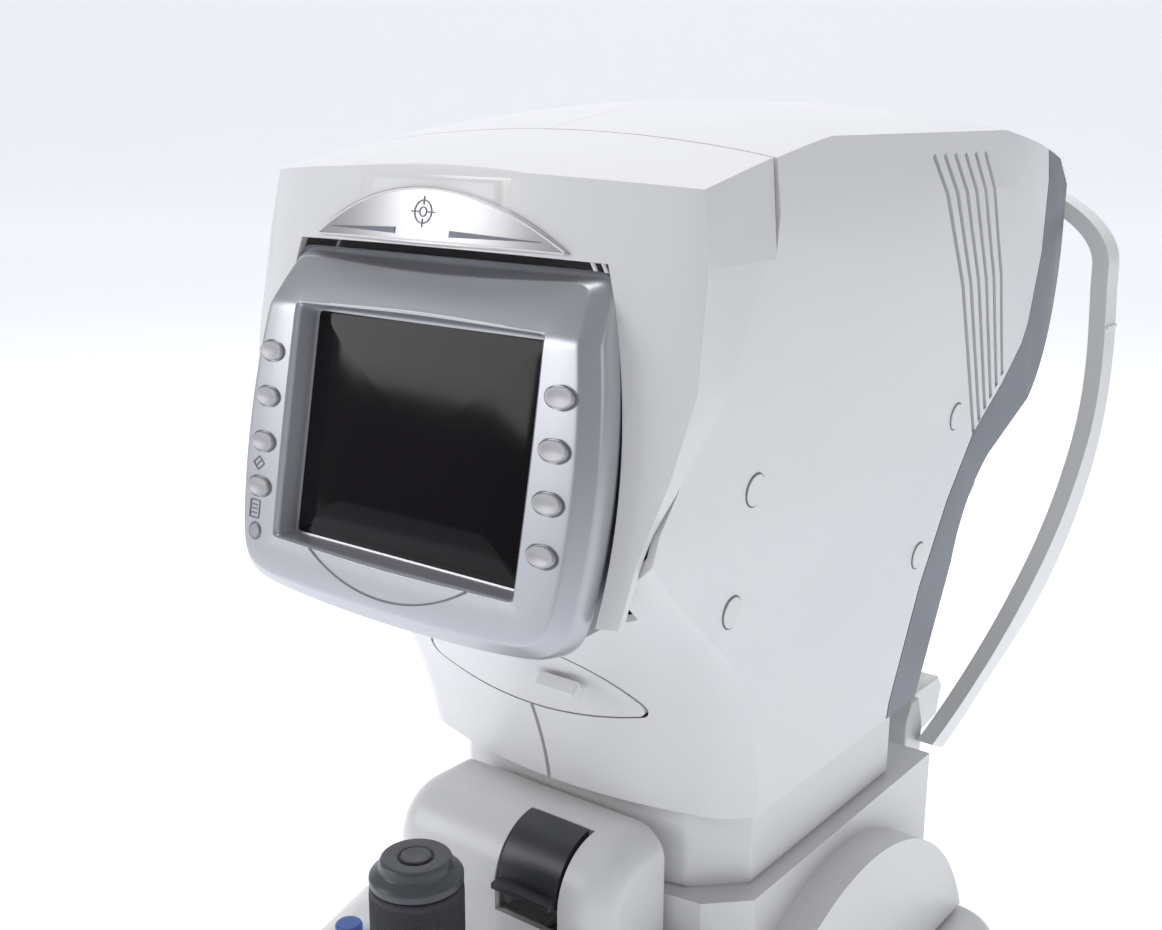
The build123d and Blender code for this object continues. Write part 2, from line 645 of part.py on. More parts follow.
def head_form(widths, inset=0.0, drop=0.0):
    """The head as the volume common to its side view, its front view and its bowed front."""
    with BuildPart() as form:
        with BuildSketch(Plane.YZ):
            with BuildLine():
                low = HEAD_BOTTOM - drop
                chin = ThreePointArc((CHIN_Y - CHIN_ROOM, low), (-127 - CHIN_ROOM, 216), (-176 - CHIN_ROOM, 276))
                lip = Line(chin @ 1, (-208, 282))
                hood = Line(lip @ 1, (-180, 428))
                brow = ThreePointArc(hood @ 1, (-175.5, 434.5), (-167, 441))
                top = ThreePointArc(brow @ 1, (-35, HEIGHT + 15), (HEAD_BACK_TOP - 73, 459.5))
                heel = Line(top @ 1, (HEAD_BACK_TOP, 416))
                back = Line(heel @ 1, (HEAD_BACK_TOP, 385))
                shoulder = ThreePointArc(back @ 1, (189, 344), (152, 312))
                waist = Line(shoulder @ 1, (108, 291))
                bend = ThreePointArc(waist @ 1, (89, 271), (80, 242))
                Polyline(bend @ 1, (HEAD_BACK_LOW, low), chin @ 0)
            make_face()
            if inset:
                offset(amount=-inset)
        extrude(amount=120, both=True)
        with BuildSketch(Plane.XZ):
            with BuildLine():
                right = Polyline(*[(x, z if i else z - drop) for i, (x, z) in enumerate(widths)])
                ThreePointArc(right @ 1, (0, HEIGHT), (-widths[-1][0], widths[-1][1]))
                Polyline(*[(-x, z if i else z - drop) for i, (x, z) in enumerate(widths)])
                Line(right @ 0, (-widths[0][0], widths[0][1] - drop))
            make_face()
            if inset:
                offset(amount=-inset)
        extrude(amount=300, both=True, mode=Mode.INTERSECT)
        add(crown_form(inset), mode=Mode.INTERSECT)
        add(tail_form(inset), mode=Mode.INTERSECT)
    return form.part


def bow_form(inset):
    """Volume behind the bowed face of the hood, pulled in by inset."""
    across = Plane(origin=SCREEN.origin, x_dir=(1, 0, 0), z_dir=(0, sin(TILT), cos(TILT)))
    with BuildPart() as bow:
        with BuildSketch(across):
            with BuildLine():
                arc = ThreePointArc((-130, 32 + inset), (0, -1.5 + inset), (130, 32 + inset))
                Polyline(arc @ 1, (130, 460), (-130, 460), arc @ 0)
            make_face()
        extrude(amount=320, both=True)
    return bow.part


def side_region(points):
    """A slab as wide as the head, with the given outline in the side view."""
    with BuildPart() as slab:
        with BuildSketch(Plane.YZ):
            with BuildLine():
                Polyline(*points, close=True)
            make_face()
        extrude(amount=130, both=True)
    return slab.part


def monitor_outline(grow=0.0):
    """Outline of the monitor in the plane of its screen, grown all round, in the sketch being built."""
    g = grow
    with BuildLine() as outline:
        Line((-70 - g, 66 + g), (70 + g, 66 + g))
        right = ThreePointArc((70 + g, 66 + g), (82.5 + g, 0), (80 + g, -52))
        left = ThreePointArc((-70 - g, 66 + g), (-82.5 - g, 0), (-80 - g, -52))
        Line(right @ 1, (66 + g, -66 - g))
        Line(left @ 1, (-66 - g, -66 - g))
        Line((66 + g, -66 - g), (-66 - g, -66 - g))
    make_face(outline.edges())


SEAM = [(-115, 480), (-115.5, 441), (-120.5, 405), (-126.5, 404), (-152.5, 361), (-180.5, 319), (-188, 290),
        (-188, HOOD_LOW)]
BACK_EDGE = [(148, 480), (152, 436), (158, 420), (156, 385), (140, 352), (113, 326), (84, 305), (64, 277), (46, 240),
             (30, 185), (28, 150)]
front_region = side_region(SEAM + [(-240, HOOD_LOW), (-240, 480)])
middle_region = side_region([(SEAM[0][0] + SEAM_GAP, 480)] + [(y + SEAM_GAP, z) for y, z in SEAM[1:-1]]
                            + [(-187, 262), (-150, 150)] + [(y - SEAM_GAP, z) for y, z in reversed(BACK_EDGE)])
back_region = side_region(BACK_EDGE + [(240, 150), (240, 480)])

with BuildPart() as pocket:
    with BuildSketch(SCREEN.offset(-37)):
        monitor_outline(3.5)
        with Locations((0, -90)):
            Rectangle(140, 60)
    extrude(amount=70)

with BuildPart() as hood_inner:
    add(head_form(HOOD_WIDTHS, WALL, 20))
    add(bow_form(WALL), mode=Mode.INTERSECT)
    with Locations((0, 0, CHIN_TOP)):
        Box(300, 800, 200, align=(Align.CENTER, Align.CENTER, Align.MAX), mode=Mode.SUBTRACT)

with BuildPart() as front_cover:
    add(head_form(HOOD_WIDTHS))
    add(bow_form(0), mode=Mode.INTERSECT)
    add(front_region, mode=Mode.INTERSECT)
    add(hood_inner.part, mode=Mode.SUBTRACT)
    add(pocket.part, mode=Mode.SUBTRACT)
pieces["front_cover"] = front_cover

with BuildPart() as head_hollow:
    add(head_form(SHELL_WIDTHS, WALL, 20))
    add(chin_form(WALL), mode=Mode.INTERSECT)

with BuildPart() as head_shell:
    add(head_form(SHELL_WIDTHS))
    add(bow_form(0), mode=Mode.INTERSECT)
    add(chin_form(0), mode=Mode.INTERSECT)
    add(head_hollow.part, mode=Mode.SUBTRACT)

with BuildPart() as door_leaf:
    with BuildSketch(Plane.XZ.offset(100)) as leaf:
        with BuildLine():
            ThreePointArc((-61, 224), (0, 214), (61, 224))
            ThreePointArc((-61, 224), (0, 256), (61, 224))
        make_face()
        fillet(leaf.vertices(), 5)
    extrude(amount=100)

LOUVRES = 6
with BuildPart() as louvres:
    for i in range(LOUVRES):
        share = i / (LOUVRES - 1)
        with BuildSketch(Plane.YZ.offset(80)):
            with BuildLine():
                y_top = 12 + share * 54
                y_low = 84 + share * 26
                z_low = 306 + share * 24
                line = ThreePointArc((y_top, 436), (y_top + 32 - 10 * share, 380), (y_low, z_low))
            trace(line, 3.2)
        extrude(amount=40)
    mirror(about=Plane.YZ)

for name, side in (("left_side_shell", -1), ("right_side_shell", 1)):
    with BuildPart() as shell:
        add(head_shell.part)
        add(middle_region, mode=Mode.INTERSECT)
        add(pocket.part, mode=Mode.SUBTRACT)
        add(louvres.part, mode=Mode.SUBTRACT)
        add(door_leaf.part, mode=Mode.SUBTRACT)
        with Locations((side * 100.15, 0, 300)):
            Box(200, 600, 400, mode=Mode.INTERSECT)
        with Locations((0, CHIN_Y, CHIN_SPLIT_TOP)):
            Box(2 * SEAM_GAP, 60, 60, align=(Align.CENTER, Align.CENTER, Align.MAX), mode=Mode.SUBTRACT)
    pieces[name] = shell

with BuildPart() as back_cover:
    add(head_shell.part)
    add(back_region, mode=Mode.INTERSECT)
    with BuildSketch(Plane.XZ.offset(-130)):
        with Locations((0, EYE_Z)):
            Circle(36)
    extrude(amount=-100, mode=Mode.SUBTRACT)
pieces["back_cover"] = back_cover

with BuildPart() as badge_plate:
    with BuildSketch(SCREEN.offset(-30)):
        with BuildLine():
            base = ThreePointArc((-61, 71), (0, 70), (61, 71))
            ThreePointArc(base @ 0, (0, 90), base @ 1)
        make_face()
    extrude(amount=60)
    add(bow_form(-1.2), mode=Mode.INTERSECT)
    add(bow_form(0), mode=Mode.SUBTRACT)
    add(front_cover.part, mode=Mode.SUBTRACT)
pieces["badge_plate"] = badge_plate

SCREW_CAPS = [(-119.5, 322), (-127.5, 277), (59.5, 318), (37.5, 256)]
with BuildPart() as cap_rods:
    with BuildSketch(Plane.YZ.offset(60)):
        with Locations(*SCREW_CAPS):
            Circle(6)
    extrude(amount=60)
    mirror(about=Plane.YZ)
with BuildPart() as screw_caps:
    add(head_form([(x + 0.8, z) for x, z in SHELL_WIDTHS]))
    add(head_form(SHELL_WIDTHS), mode=Mode.SUBTRACT)
    add(cap_rods.part, mode=Mode.INTERSECT)
pieces["screw_caps"] = screw_caps

with BuildPart() as optical_bench:
    with Locations((0, -12, BENCH_Z + 4)):
        Box(150, 126, 8)
    with Locations((-POST_X, POST_Y, BENCH_Z), (POST_X, POST_Y, BENCH_Z)):
        Cylinder(11, 26, align=(Align.CENTER, Align.CENTER, Align.MIN))
    with Locations((0, SCREW_Y, BENCH_Z)):
        Cylinder(10, 18, align=(Align.CENTER, Align.CENTER, Align.MIN))
    with Locations((0, -10, (BENCH_Z + EYE_Z) / 2), (0, 46, (BENCH_Z + EYE_Z) / 2)):
        Box(70, 6, EYE_Z - BENCH_Z)
    with BuildSketch(Plane.XZ):
        with Locations((0, EYE_Z)):
            Circle(30)
    extrude(amount=200, both=True, mode=Mode.SUBTRACT)
    with Locations((0, 46, BENCH_Z + 46)):
        Box(30, 20, 60, mode=Mode.SUBTRACT)
    with Locations((-POST_X, POST_Y, BENCH_Z), (POST_X, POST_Y, BENCH_Z)):
        Cylinder(POST_RADIUS + RUN, 100, mode=Mode.SUBTRACT)
    with Locations((0, SCREW_Y, BENCH_Z)):
        Cylinder(SCREW_RADIUS + RUN, 100, mode=Mode.SUBTRACT)
pieces["optical_bench"] = optical_bench

with BuildPart() as lens_tube:
    with BuildSketch(Plane.XZ.offset(20)):
        with Locations((0, EYE_Z)):
            Circle(30)
            Circle(26, mode=Mode.SUBTRACT)
    extrude(amount=-186)
pieces["lens_tube"] = lens_tube

with BuildPart() as objective_window:
    with BuildSketch(Plane.XZ.offset(-166)):
        with Locations((0, EYE_Z)):
            Circle(25.9)
    extrude(amount=6)
pieces["objective_window"] = objective_window

with BuildPart() as mire_ring:
    with BuildSketch(Plane.XZ.offset(-166)):
        with Locations((0, EYE_Z)):
            Circle(35)
            Circle(20, mode=Mode.SUBTRACT)
    extrude(amount=-10)
pieces["mire_ring"] = mire_ring

with BuildPart() as camera_module:
    with Locations((0, -40, EYE_Z)):
        Box(52, 34, 52)
    with BuildSketch(Plane.XZ.offset(23)):
        with Locations((0, EYE_Z)):
            Circle(20)
    extrude(amount=-40)
pieces["camera_module"] = camera_module

with BuildPart() as main_board:
    with Locations((0, -112, 315)):
        Box(130, 2, 80)
    with Locations((-30, -108, 330), (25, -108, 300)):
        Box(24, 6, 24)
pieces["main_board"] = main_board

with BuildPart() as printer_body:
    with Locations((0, -80, BENCH_Z + 38)):
        Box(74, 18, 60)
    with Locations((-35.5, -101, BENCH_Z + 30), (35.5, -101, BENCH_Z + 30)):
        Box(3, 46, 44)
    with BuildSketch(Plane.YZ):
        with Locations(PLATEN, ROLL):
            Circle(2 + RUN)
    extrude(amount=60, both=True, mode=Mode.SUBTRACT)
pieces["printer_body"] = printer_body

with BuildPart() as platen_roller:
    with BuildSketch(Plane.YZ.offset(-33.5)):
        with Locations(PLATEN):
            Circle(5)
    extrude(amount=67)
    with BuildSketch(Plane.YZ.offset(-37)):
        with Locations(PLATEN):
            Circle(2)
    extrude(amount=74)
pieces["platen_roller"] = platen_roller

with BuildPart() as paper_roll:
    with BuildSketch(Plane.YZ.offset(-29)):
        with Locations(ROLL):
            Circle(17.5)
    extrude(amount=58)
    with BuildSketch(Plane.YZ.offset(-37)):
        with Locations(ROLL):
            Circle(2)
    extrude(amount=74)
pieces["paper_roll"] = paper_roll

with BuildPart() as printer_door:
    with BuildSketch(Plane.XZ.offset(100)) as flap:
        with BuildLine():
            ThreePointArc((-59, 224), (0, 214.9), (59, 224))
            ThreePointArc((-59, 224), (0, 255.1), (59, 224))
        make_face()
        fillet(flap.vertices(), 4.5)
    extrude(amount=100)
    add(head_shell.part, mode=Mode.INTERSECT)
pieces["printer_door"] = printer_door

LATCH_UP = Vector(-0.55, 0.835)
LATCH_OUT = Vector(-0.835, -0.55)
LATCH_FOOT = Vector(-135.6, 232) + LATCH_OUT * GAP
with BuildPart() as door_latch:
    with BuildSketch(Plane.YZ.offset(16)):
        with BuildLine():
            Polyline(LATCH_FOOT, LATCH_FOOT + LATCH_OUT * 5 + LATCH_UP * 1.5,
                     LATCH_FOOT + LATCH_OUT * 6 + LATCH_UP * 6,
                     LATCH_FOOT + LATCH_UP * 8, close=True)
        make_face()
    extrude(amount=20)
pieces["door_latch"] = door_latch

# ---------------------------------------------------------------- monitor
with BuildPart() as monitor_bezel:
    with BuildSketch(SCREEN.offset(-14)):
        monitor_outline()
    extrude(amount=14 + FACE)
    # Brow that slopes back above the screen
    with BuildSketch(SCREEN_SIDE):
        with BuildLine():
            Polyline((FACE + 0.1, 42), (-7.5, 66.1), (8, 66.1), (8, 42), close=True)
        make_face()
    extrude(amount=100, both=True, mode=Mode.SUBTRACT)
    with BuildSketch(SCREEN.offset(-14)):
        monitor_outline(-3)
        with Locations((0, -12)):
            Rectangle(180, 110, mode=Mode.INTERSECT)
        Rectangle(SCREEN_WIDTH + 6, SCREEN_HEIGHT + 6, mode=Mode.SUBTRACT)
    extrude(amount=14, mode=Mode.SUBTRACT)
    with BuildSketch(SCREEN.offset(-14)):
        Rectangle(SCREEN_WIDTH + 3, SCREEN_HEIGHT + 3)
    extrude(amount=8, mode=Mode.SUBTRACT)
    with BuildSketch(SCREEN.offset(-7)):
        Rectangle(SCREEN_WIDTH, SCREEN_HEIGHT)
    extrude(amount=20, mode=Mode.SUBTRACT)
    with BuildSketch(SCREEN.offset(-2)):
        for row in KEY_ROWS:
            with Locations((-KEY_X, row), (KEY_X, row)):
                Ellipse(6.4, 3.75)
        with Locations((-KEY_X, LAMP_ROW)):
            Circle(2.8)
    extrude(amount=10, mode=Mode.SUBTRACT)
pieces["monitor_bezel"] = monitor_bezel

with BuildPart() as monitor_back:
    with BuildSketch(SCREEN.offset(-32)):
        monitor_outline(-4)
    extrude(amount=18)
    with BuildSketch(SCREEN.offset(-29)):
        monitor_outline(-7)
    extrude(amount=15, mode=Mode.SUBTRACT)
    with BuildSketch(SCREEN.offset(-32)):
        with Locations((-45, 50), (45, 50)):
            Rectangle(26, 22)
    extrude(amount=18)
    with BuildSketch(SCREEN.offset(-33)):
        with Locations((-45, 60), (45, 60)):
            Rectangle(10, 24)
    extrude(amount=20, mode=Mode.SUBTRACT)
    hinge_point = (SCREEN * Location((0, HINGE_V, HINGE_DEPTH))).position
    hinge_plane = Plane(origin=hinge_point, x_dir=(0, 1, 0), z_dir=(1, 0, 0))
    with BuildSketch(hinge_plane):
        Circle(2.5 + RUN)
    extrude(amount=57, both=True, mode=Mode.SUBTRACT)
pieces["monitor_back"] = monitor_back

with BuildPart() as display_panel:
    with BuildSketch(SCREEN.offset(-13)):
        Rectangle(SCREEN_WIDTH + 2.6, SCREEN_HEIGHT + 2.6)
    extrude(amount=7)
pieces["display_panel"] = display_panel

with BuildPart() as pilot_lamp:
    with BuildSketch(SCREEN.offset(-3)):
        with Locations((-KEY_X, LAMP_ROW)):
            Circle(2.6)
    extrude(amount=FACE + 3.8)
pieces["pilot_lamp"] = pilot_lamp

for column, x in (("left", -KEY_X), ("right", KEY_X)):
    for number, row in enumerate(KEY_ROWS, start=1):
        with BuildPart() as key:
            with BuildSketch(SCREEN.offset(-4)):
                with Locations((x, row)):
                    Ellipse(6.15, 3.5)
            extrude(amount=FACE + 4 + 1.8)
            fillet(key.faces().sort_by(Axis(SCREEN.origin, SCREEN.z_dir))[-1].edges(), 0.6)
        pieces[f"{column}_key_{number}"] = key

with BuildPart() as monitor_bracket:
    with BuildSketch(SCREEN.offset(-44)):
        Rectangle(132, 110)
    extrude(amount=3)
    with BuildSketch(SCREEN.offset(-42)):
        with Locations((-45, HINGE_V), (45, HINGE_V)):
            Rectangle(9, 10)
    extrude(amount=42 + HINGE_DEPTH)
    with BuildSketch(hinge_plane.offset(-56.5)):
        Circle(2.5)
    extrude(amount=22)
    with BuildSketch(hinge_plane.offset(34.5)):
        Circle(2.5)
    extrude(amount=22)
pieces["monitor_bracket"] = monitor_bracket

for name, piece in pieces.items():
    piece.part.label = name
    export_step(piece.part, f"parts/{name}.step")
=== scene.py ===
import logging
import math
from dataclasses import dataclass
from enum import Enum
from functools import cache

import bmesh
import bpy
import numpy as np
from mathutils import Matrix, Vector


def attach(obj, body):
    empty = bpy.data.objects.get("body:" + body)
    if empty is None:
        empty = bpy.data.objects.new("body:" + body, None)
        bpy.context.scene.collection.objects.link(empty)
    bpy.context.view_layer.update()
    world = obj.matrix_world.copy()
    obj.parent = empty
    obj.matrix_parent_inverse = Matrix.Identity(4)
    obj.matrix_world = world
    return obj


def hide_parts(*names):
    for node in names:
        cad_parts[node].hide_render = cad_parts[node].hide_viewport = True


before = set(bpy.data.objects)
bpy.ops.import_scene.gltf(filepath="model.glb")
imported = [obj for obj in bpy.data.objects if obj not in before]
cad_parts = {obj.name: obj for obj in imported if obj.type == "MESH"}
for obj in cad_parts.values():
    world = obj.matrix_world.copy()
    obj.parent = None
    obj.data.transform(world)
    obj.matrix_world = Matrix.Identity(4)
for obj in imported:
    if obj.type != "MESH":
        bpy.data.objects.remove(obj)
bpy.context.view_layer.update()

MM = 0.001
OPENING_POWER = 70.0
BUTTON_COLUMNS = 72
Extent = float | np.ndarray
Place = tuple[float, float, float]
Row = tuple[float, float]

log = logging.getLogger("autorefractor")


# ---------------------------------------------------------------- surfaces


class Edge(Enum):
    """How a row of a grid ends: left open, or closed with a fan to its middle."""

    OPEN = "open"
    FAN = "fan"


def around(count: int) -> np.ndarray:
    """Angles of a number of points spaced evenly round a full turn."""
    return np.linspace(0.0, 2.0 * np.pi, count, endpoint=False)


def grid_faces(rows: int, columns: int, closed: bool) -> np.ndarray:
    """Quads of a grid: corner (i, j) joins (i, j+1), (i+1, j+1) and (i+1, j), with j wrapped when closed.

    Args:
        rows: number of rows of points.
        columns: number of points in a row.
        closed: whether each row runs back to its own first point.

    Returns:
        An array of four point numbers for each quad.
    """
    row = np.arange(rows - 1)[:, None]
    column = np.arange(columns if closed else columns - 1)[None, :]
    after = (column + 1) % columns
    here = row * columns
    above = (row + 1) * columns
    quads = np.stack([here + column, here + after, above + after, above + column], axis=-1)
    return quads.reshape(-1, 4)


def fan(start: int, columns: int, centre: int, reverse: bool) -> np.ndarray:
    """Triangles from one closed row of points to a middle point.

    Args:
        start: number of the row's first point.
        columns: number of points in the row.
        centre: number of the middle point.
        reverse: whether the triangles are wound the other way.

    Returns:
        An array of three point numbers for each triangle.
    """
    here = start + np.arange(columns)
    after = start + (np.arange(columns) + 1) % columns
    middle = np.full(columns, centre)
    order = [after, here, middle] if reverse else [here, after, middle]
    return np.stack(order, axis=-1)


def put_mesh(
    name: str, points: np.ndarray, faces: list[list[int]], sharp: float = 35.0
) -> bpy.types.Object:
    """Makes an object from points in millimetres, with its faces turned outwards and smooth below an angle.

    Args:
        name: the piece's name.
        points: an array of places, three numbers each.
        faces: point numbers of each face.
        sharp: angle in degrees above which an edge stays crisp.

    Returns:
        The new object, at the origin, with its place in its mesh.
    """
    mesh = bpy.data.meshes.new(name)
    mesh.from_pydata((points * MM).tolist(), [], faces)
    build = bmesh.new()
    build.from_mesh(mesh)
    bmesh.ops.remove_doubles(build, verts=build.verts, dist=1e-6)
    bmesh.ops.recalc_face_normals(build, faces=build.faces)
    build.to_mesh(mesh)
    build.free()
    mesh.polygons.foreach_set("use_smooth", np.ones(len(mesh.polygons), dtype=bool))
    mesh.set_sharp_from_angle(angle=math.radians(sharp))
    piece = bpy.data.objects.new(name, mesh)
    bpy.context.scene.collection.objects.link(piece)
    return piece


def put_grid(
    name: str,
    grid: np.ndarray,
    closed: bool = True,
    first: Edge = Edge.FAN,
    last: Edge = Edge.FAN,
    sharp: float = 35.0,
) -> bpy.types.Object:
    """Makes an object from a grid of places, rows by columns.

    Args:
        name: the piece's name.
        grid: array of shape rows by columns by three, in millimetres.
        closed: whether each row is a closed loop.
        first: how the first row ends.
        last: how the last row ends.
        sharp: angle in degrees above which an edge stays crisp.

    Returns:
        The new object.
    """
    rows, columns = grid.shape[:2]
    points = [grid.reshape(-1, 3)]
    faces = grid_faces(rows, columns, closed).tolist()
    centre = rows * columns
    if first is Edge.FAN and closed:
        points.append(grid[0].mean(axis=0)[None])
        faces += fan(0, columns, centre, True).tolist()
        centre += 1
    if last is Edge.FAN and closed:
        points.append(grid[-1].mean(axis=0)[None])
        faces += fan((rows - 1) * columns, columns, centre, False).tolist()
    return put_mesh(name, np.concatenate(points), faces, sharp)


def revolved(profile: np.ndarray, axis: tuple[float, float], columns: int) -> np.ndarray:
    """Grid of a profile that goes round a vertical axis, x = r cos a, y = r sin a, z as given.

    Args:
        profile: radius and height of each station, from one end to the other.
        axis: place of the axis in plan.
        columns: number of points round.

    Returns:
        The grid of places.
    """
    angle = around(columns)
    radius = profile[:, 0][:, None]
    height = np.broadcast_to(profile[:, 1][:, None], (len(profile), columns))
    return np.stack([axis[0] + radius * np.cos(angle), axis[1] + radius * np.sin(angle), height], axis=-1)


def rounded_profile(corners: np.ndarray, radii: np.ndarray, steps: int = 6) -> np.ndarray:
    """A profile through its corners, each rounded by a quadratic curve that starts and ends at its radius.

    Args:
        corners: places of the corners, two numbers each.
        radii: distance from each corner at which its curve starts.
        steps: number of points on each curve.

    Returns:
        The rounded profile's points.
    """
    before = np.roll(corners, 1, axis=0)
    after = np.roll(corners, -1, axis=0)
    before[0] = corners[0]
    after[-1] = corners[-1]

    def towards(target: np.ndarray) -> np.ndarray:
        """Points on the way from each corner to its neighbour, at the corner's radius."""
        way = target - corners
        length = np.maximum(np.linalg.norm(way, axis=1, keepdims=True), 1e-9)
        return corners + way / length * np.minimum(radii[:, None], 0.49 * length)

    start, end = towards(before), towards(after)
    t = np.linspace(0.0, 1.0, steps)[None, :, None]
    curve = (1 - t) ** 2 * start[:, None] + 2 * t * (1 - t) * corners[:, None] + t**2 * end[:, None]
    flat = curve.reshape(-1, 2)
    keep = np.concatenate([[True], np.linalg.norm(np.diff(flat, axis=0), axis=1) > 1e-6])
    return flat[keep]


def ribbon(
    name: str, path: np.ndarray, normals: np.ndarray, width: float, rise: float, closed: bool
) -> bpy.types.Object:
    """A thin raised bead along a path: at each point a low arch is laid across the path.

    Args:
        name: the piece's name.
        path: points of the middle line.
        normals: direction that the bead rises in, at each point.
        width: width of the bead.
        rise: height of its crown above the path.
        closed: whether the path runs back to its start.

    Returns:
        The new object.
    """
    if closed:
        ahead = np.roll(path, -1, axis=0) - np.roll(path, 1, axis=0)
    else:
        ahead = np.gradient(path, axis=0)
    across = np.cross(ahead, normals)
    across /= np.linalg.norm(across, axis=1, keepdims=True)
    side = np.array([-0.5, -0.42, 0.0, 0.42, 0.5, 0.0]) * width
    lift = np.array([-0.6, 0.6, 1.0, 0.6, -0.6, -0.8]) * rise
    grid = path[:, None] + across[:, None] * side[None, :, None] + normals[:, None] * lift[None, :, None]
    if closed:
        grid = np.concatenate([grid, grid[:1]])
        return put_grid(name, grid, True, Edge.OPEN, Edge.OPEN)
    return put_grid(name, grid, True)


def softened(
    node: str, name: str, radius: float, segments: int = 3, limit: float = 28.0, merge: float = 0.02
) -> bpy.types.Object:
    """A copy of a frame node with its loose triangles merged, its flats joined and its edges rounded.

    Args:
        node: the frame node.
        name: the new piece's name.
        radius: width of the rounding, in millimetres.
        segments: number of steps in the rounding.
        limit: angle in degrees above which an edge is rounded.
        merge: distance in millimetres within which points are one.

    Returns:
        The new object.
    """
    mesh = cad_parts[node].data.copy()
    mesh.name = name
    build = bmesh.new()
    build.from_mesh(mesh)
    bmesh.ops.remove_doubles(build, verts=build.verts, dist=merge * MM)
    bmesh.ops.dissolve_degenerate(build, edges=build.edges, dist=merge * MM)
    bmesh.ops.dissolve_limit(build, angle_limit=math.radians(0.5), verts=build.verts, edges=build.edges)
    build.to_mesh(mesh)
    build.free()
    mesh.materials.clear()
    mesh.polygons.foreach_set("use_smooth", np.ones(len(mesh.polygons), dtype=bool))
    mesh.set_sharp_from_angle(angle=math.radians(limit + 6.0))
    piece = bpy.data.objects.new(name, mesh)
    bpy.context.scene.collection.objects.link(piece)
    if radius > 0:
        bevel = piece.modifiers.new("rounding", "BEVEL")
        bevel.width = radius * MM
        bevel.segments = segments
        bevel.limit_method = "ANGLE"
        bevel.angle_limit = math.radians(limit)
        bevel.harden_normals = True
        bevel.use_clamp_overlap = True
    return piece


# ---------------------------------------------------------------- finishes


class Pattern(Enum):
    """What the fine surface of a finish is like."""

    MOULDED = "moulded"
    FLAKE = "flake"
    BRUSHED = "brushed"
    RUBBER = "rubber"
    CAST = "cast"
    PLAIN = "plain"


Link = tuple[bpy.types.Node, str | int, bpy.types.Node, str | int]
Values = dict[str | int, object]
Colour = tuple[float, float, float]


def add(tree: bpy.types.NodeTree, kind: str, values: Values | None = None, **settings: str) -> bpy.types.Node:
    """Adds a shader node with its settings, then its socket values, which the settings may bring out.

    Args:
        tree: the node tree.
        kind: the node's type.
        values: first value of each named or numbered input.
        settings: the node's own properties.

    Returns:
        The new node.
    """
    node = tree.nodes.new(kind)
    for label, setting in settings.items():
        setattr(node, label, setting)
    for label, value in (values or {}).items():
        node.inputs[label].default_value = value
    return node


def wire(tree: bpy.types.NodeTree, *links: Link) -> None:
    """Joins sockets: a link names the node and socket that it leaves, then those that it enters."""
    for source, output, target, entry in links:
        tree.links.new(source.outputs[output], target.inputs[entry])


